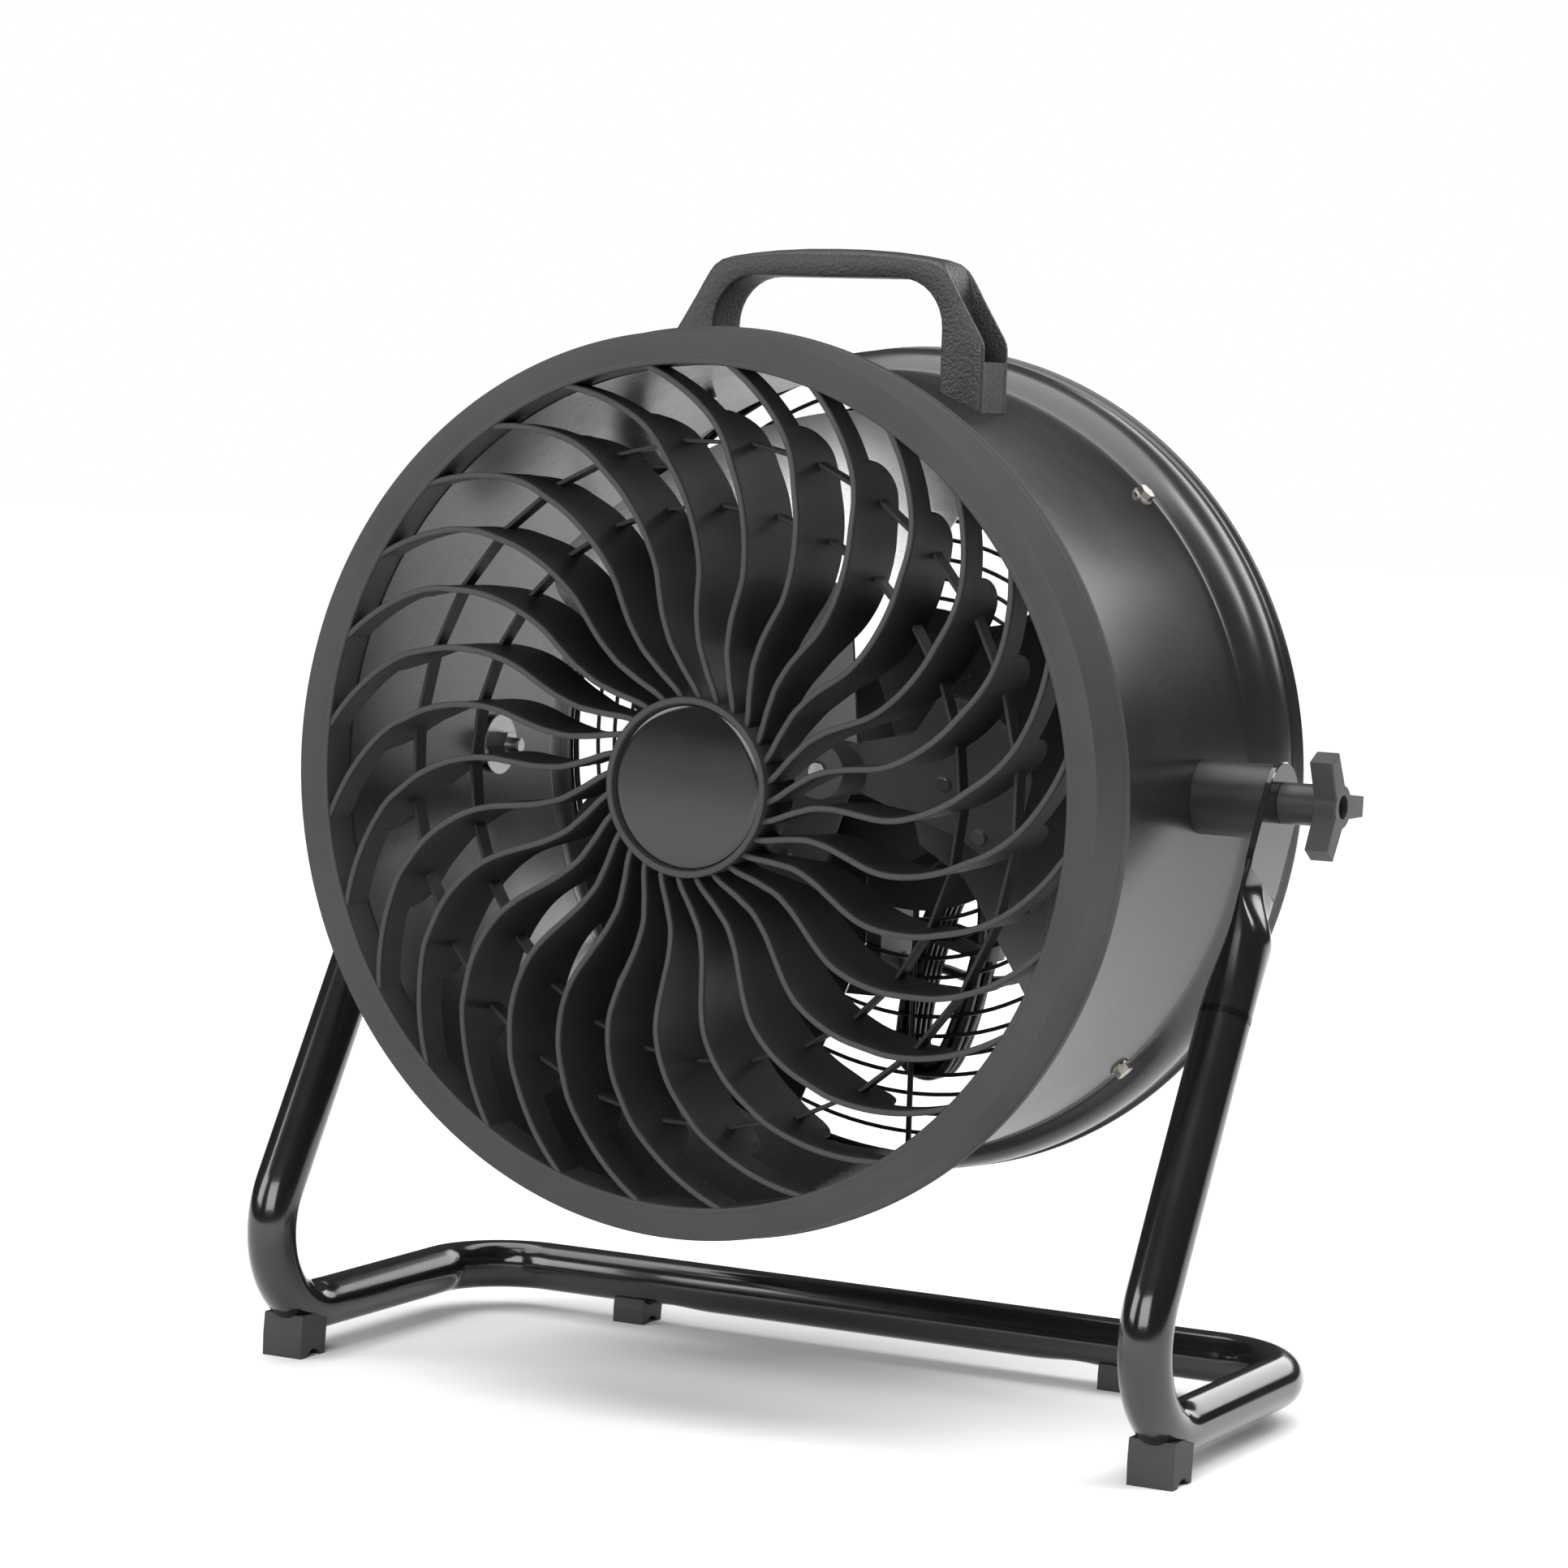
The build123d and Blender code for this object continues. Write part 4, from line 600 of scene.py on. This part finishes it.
# ---- cord and hank ------------------------------------------------------------------
CORD_D = 5.6
BOX_FRONT = 101.6
HANK_MIDDLE = Vector((14, BOX_FRONT + 1 + 12.6, -113))
LEAN = math.radians(14)
hank_up = Vector((math.sin(LEAN), 0, math.cos(LEAN)))
hank_across = Vector((math.cos(LEAN), 0, -math.sin(LEAN)))
LOOP_R = 31.0
LOOP_CORNERS = 8
LOOP_TURN = 225.0
LOOP_MIDDLE = (30.9, -86.1)
LAYER_Y = 9.8
INNER_LAYER_Y = 3.3
GLAND = (132.0, -112.0)
HALF_UP = 55.0
WIDE, NARROW = 19.6, 13.6
TURN_POINTS = 16


def hank_place(u, v, y):
    """A point of the hank: across it, along it, and behind its middle."""
    return HANK_MIDDLE + hank_across * u + hank_up * v + Vector((0, y, 0))


loop_step = LOOP_TURN / LOOP_CORNERS
corner_r = LOOP_R / math.cos(math.radians(loop_step / 2))
route = [Vector((-23, *GLAND)), Vector((-2, *GLAND)), Vector((17, GLAND[0], GLAND[1] - 5.5))]
for index in range(LOOP_CORNERS - 1):
    angle = math.radians(-90 + loop_step * (index + 0.5))
    share = (1 - math.cos(math.pi * max(index - 1, 0) / (LOOP_CORNERS - 2))) / 2
    inward = (GLAND[0] - HANK_MIDDLE.y + LAYER_Y) * share
    route.append(Vector((LOOP_MIDDLE[0] + corner_r * math.cos(angle), GLAND[0] - inward,
                         LOOP_MIDDLE[1] + corner_r * math.sin(angle))))

layers = [(-LAYER_Y, WIDE), (-LAYER_Y, NARROW), (-INNER_LAYER_Y, NARROW), (-INNER_LAYER_Y, WIDE),
          (INNER_LAYER_Y, WIDE), (INNER_LAYER_Y, NARROW), (LAYER_Y, NARROW)]
for number, (layer, half) in enumerate(layers):
    after_layer, after_half = layers[min(number + 1, len(layers) - 1)]
    if number == len(layers) - 1:
        after_layer, after_half = LAYER_Y, WIDE
    for point in range(TURN_POINTS):
        if number == 0 and point == 0:
            continue
        share = point / TURN_POINTS
        swap = smooth_step(share, 0.62, 0.98)
        wide = half + (after_half - half) * swap
        y = layer + (after_layer - layer) * swap
        angle = 2 * math.pi * share + math.pi / 2
        u = wide * math.cos(angle)
        straight = HALF_UP - WIDE
        v = straight * max(min(math.sin(angle) * 1.35, 1), -1) + wide * math.sin(angle)
        route.append(hank_place(u, v, y))
route.append(hank_place(3, HALF_UP + 0.4, LAYER_Y))
route.append(hank_place(-10, HALF_UP + 0.7, LAYER_Y))
route.append(hank_place(-30, HALF_UP + 0.7, LAYER_Y))

cord_curve = bpy.data.curves.new("cord_line", "CURVE")
cord_curve.dimensions = "3D"
cord_curve.bevel_depth = CORD_D / 2 * MM
cord_curve.bevel_resolution = 5
cord_curve.resolution_u = 6
cord_curve.use_fill_caps = True
spline = cord_curve.splines.new("NURBS")
spline.points.add(len(route) - 1)
for point, place in zip(spline.points, route):
    point.co = (*head(*place), 1)
spline.order_u = 3
spline.use_endpoint_u = True
cord = bpy.data.objects.new("cord_line", cord_curve)
bpy.context.collection.objects.link(cord)
cord_curve.materials.append(looks["cord_jacket"])
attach(cord, "head")
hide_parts("power_cord", "cord_hank")

# ---- floor, light and picture -------------------------------------------------------
floor_mesh = bpy.data.meshes.new("floor")
plan = bmesh.new()
bmesh.ops.create_grid(plan, x_segments=2, y_segments=2, size=12)
plan.to_mesh(floor_mesh)
plan.free()
floor = bpy.data.objects.new("floor", floor_mesh)
bpy.context.collection.objects.link(floor)
floor_look = material("floor_paper", (0.93, 0.93, 0.93), 0.9, grain=40, bump=0.02, tint=0.01, smudge=0.02,
                      specular=0.1)
floor.data.materials.append(floor_look)


def softbox(name, place, target, size, power):
    """A soft area light at a place, turned to a target."""
    data = bpy.data.lights.new(name, "AREA")
    data.shape = "RECTANGLE"
    data.size, data.size_y = size
    data.energy = power
    light = bpy.data.objects.new(name, data)
    light.location = place
    light.rotation_euler = (Vector(target) - Vector(place)).to_track_quat("-Z", "Y").to_euler()
    bpy.context.collection.objects.link(light)


softbox("left_box", (-2.3, -2.2, 1.5), (0, 0, 0.3), (1.5, 1.5), 42)
softbox("right_box", (2.0, 0.5, 2.2), (0.2, 0, 0.4), (0.7, 1.4), 30)
softbox("front_box", (0.42, -2.5, 1.25), (0, 0, 0.4), (1.8, 1.3), 44)
softbox("back_box", (0.35, 2.6, 1.2), (0, 0, 0.4), (1.9, 0.9), 16)

ceiling = bpy.data.lights.new("ceiling", "SUN")
ceiling.angle = math.radians(70)
ceiling.energy = 3.3
overhead = bpy.data.objects.new("ceiling", ceiling)
overhead.location = (0, 0, 3)
bpy.context.collection.objects.link(overhead)

world = bpy.data.worlds.new("studio")
world.use_nodes = True
sky = world.node_tree.nodes
sky_link = world.node_tree.links.new
backdrop = sky["Background"]
backdrop.inputs["Color"].default_value = (1, 1, 1, 1)
ray = sky.new("ShaderNodeLightPath")
where = sky.new("ShaderNodeTexCoord")
split = sky.new("ShaderNodeSeparateXYZ")
sky_link(where.outputs["Generated"], split.inputs[0])
dome = sky.new("ShaderNodeMapRange")
dome.inputs["From Min"].default_value = 0.0
dome.inputs["From Max"].default_value = 0.8
dome.inputs["To Min"].default_value = 0.03
dome.inputs["To Max"].default_value = 0.15
sky_link(split.outputs["Z"], dome.inputs["Value"])
seen = sky.new("ShaderNodeMix")
sky_link(ray.outputs["Is Camera Ray"], seen.inputs["Factor"])
sky_link(dome.outputs["Result"], seen.inputs["A"])
seen.inputs["B"].default_value = 1.0
sky_link(seen.outputs["Result"], backdrop.inputs["Strength"])
bpy.context.scene.world = world
bpy.context.scene.view_settings.view_transform = "Standard"
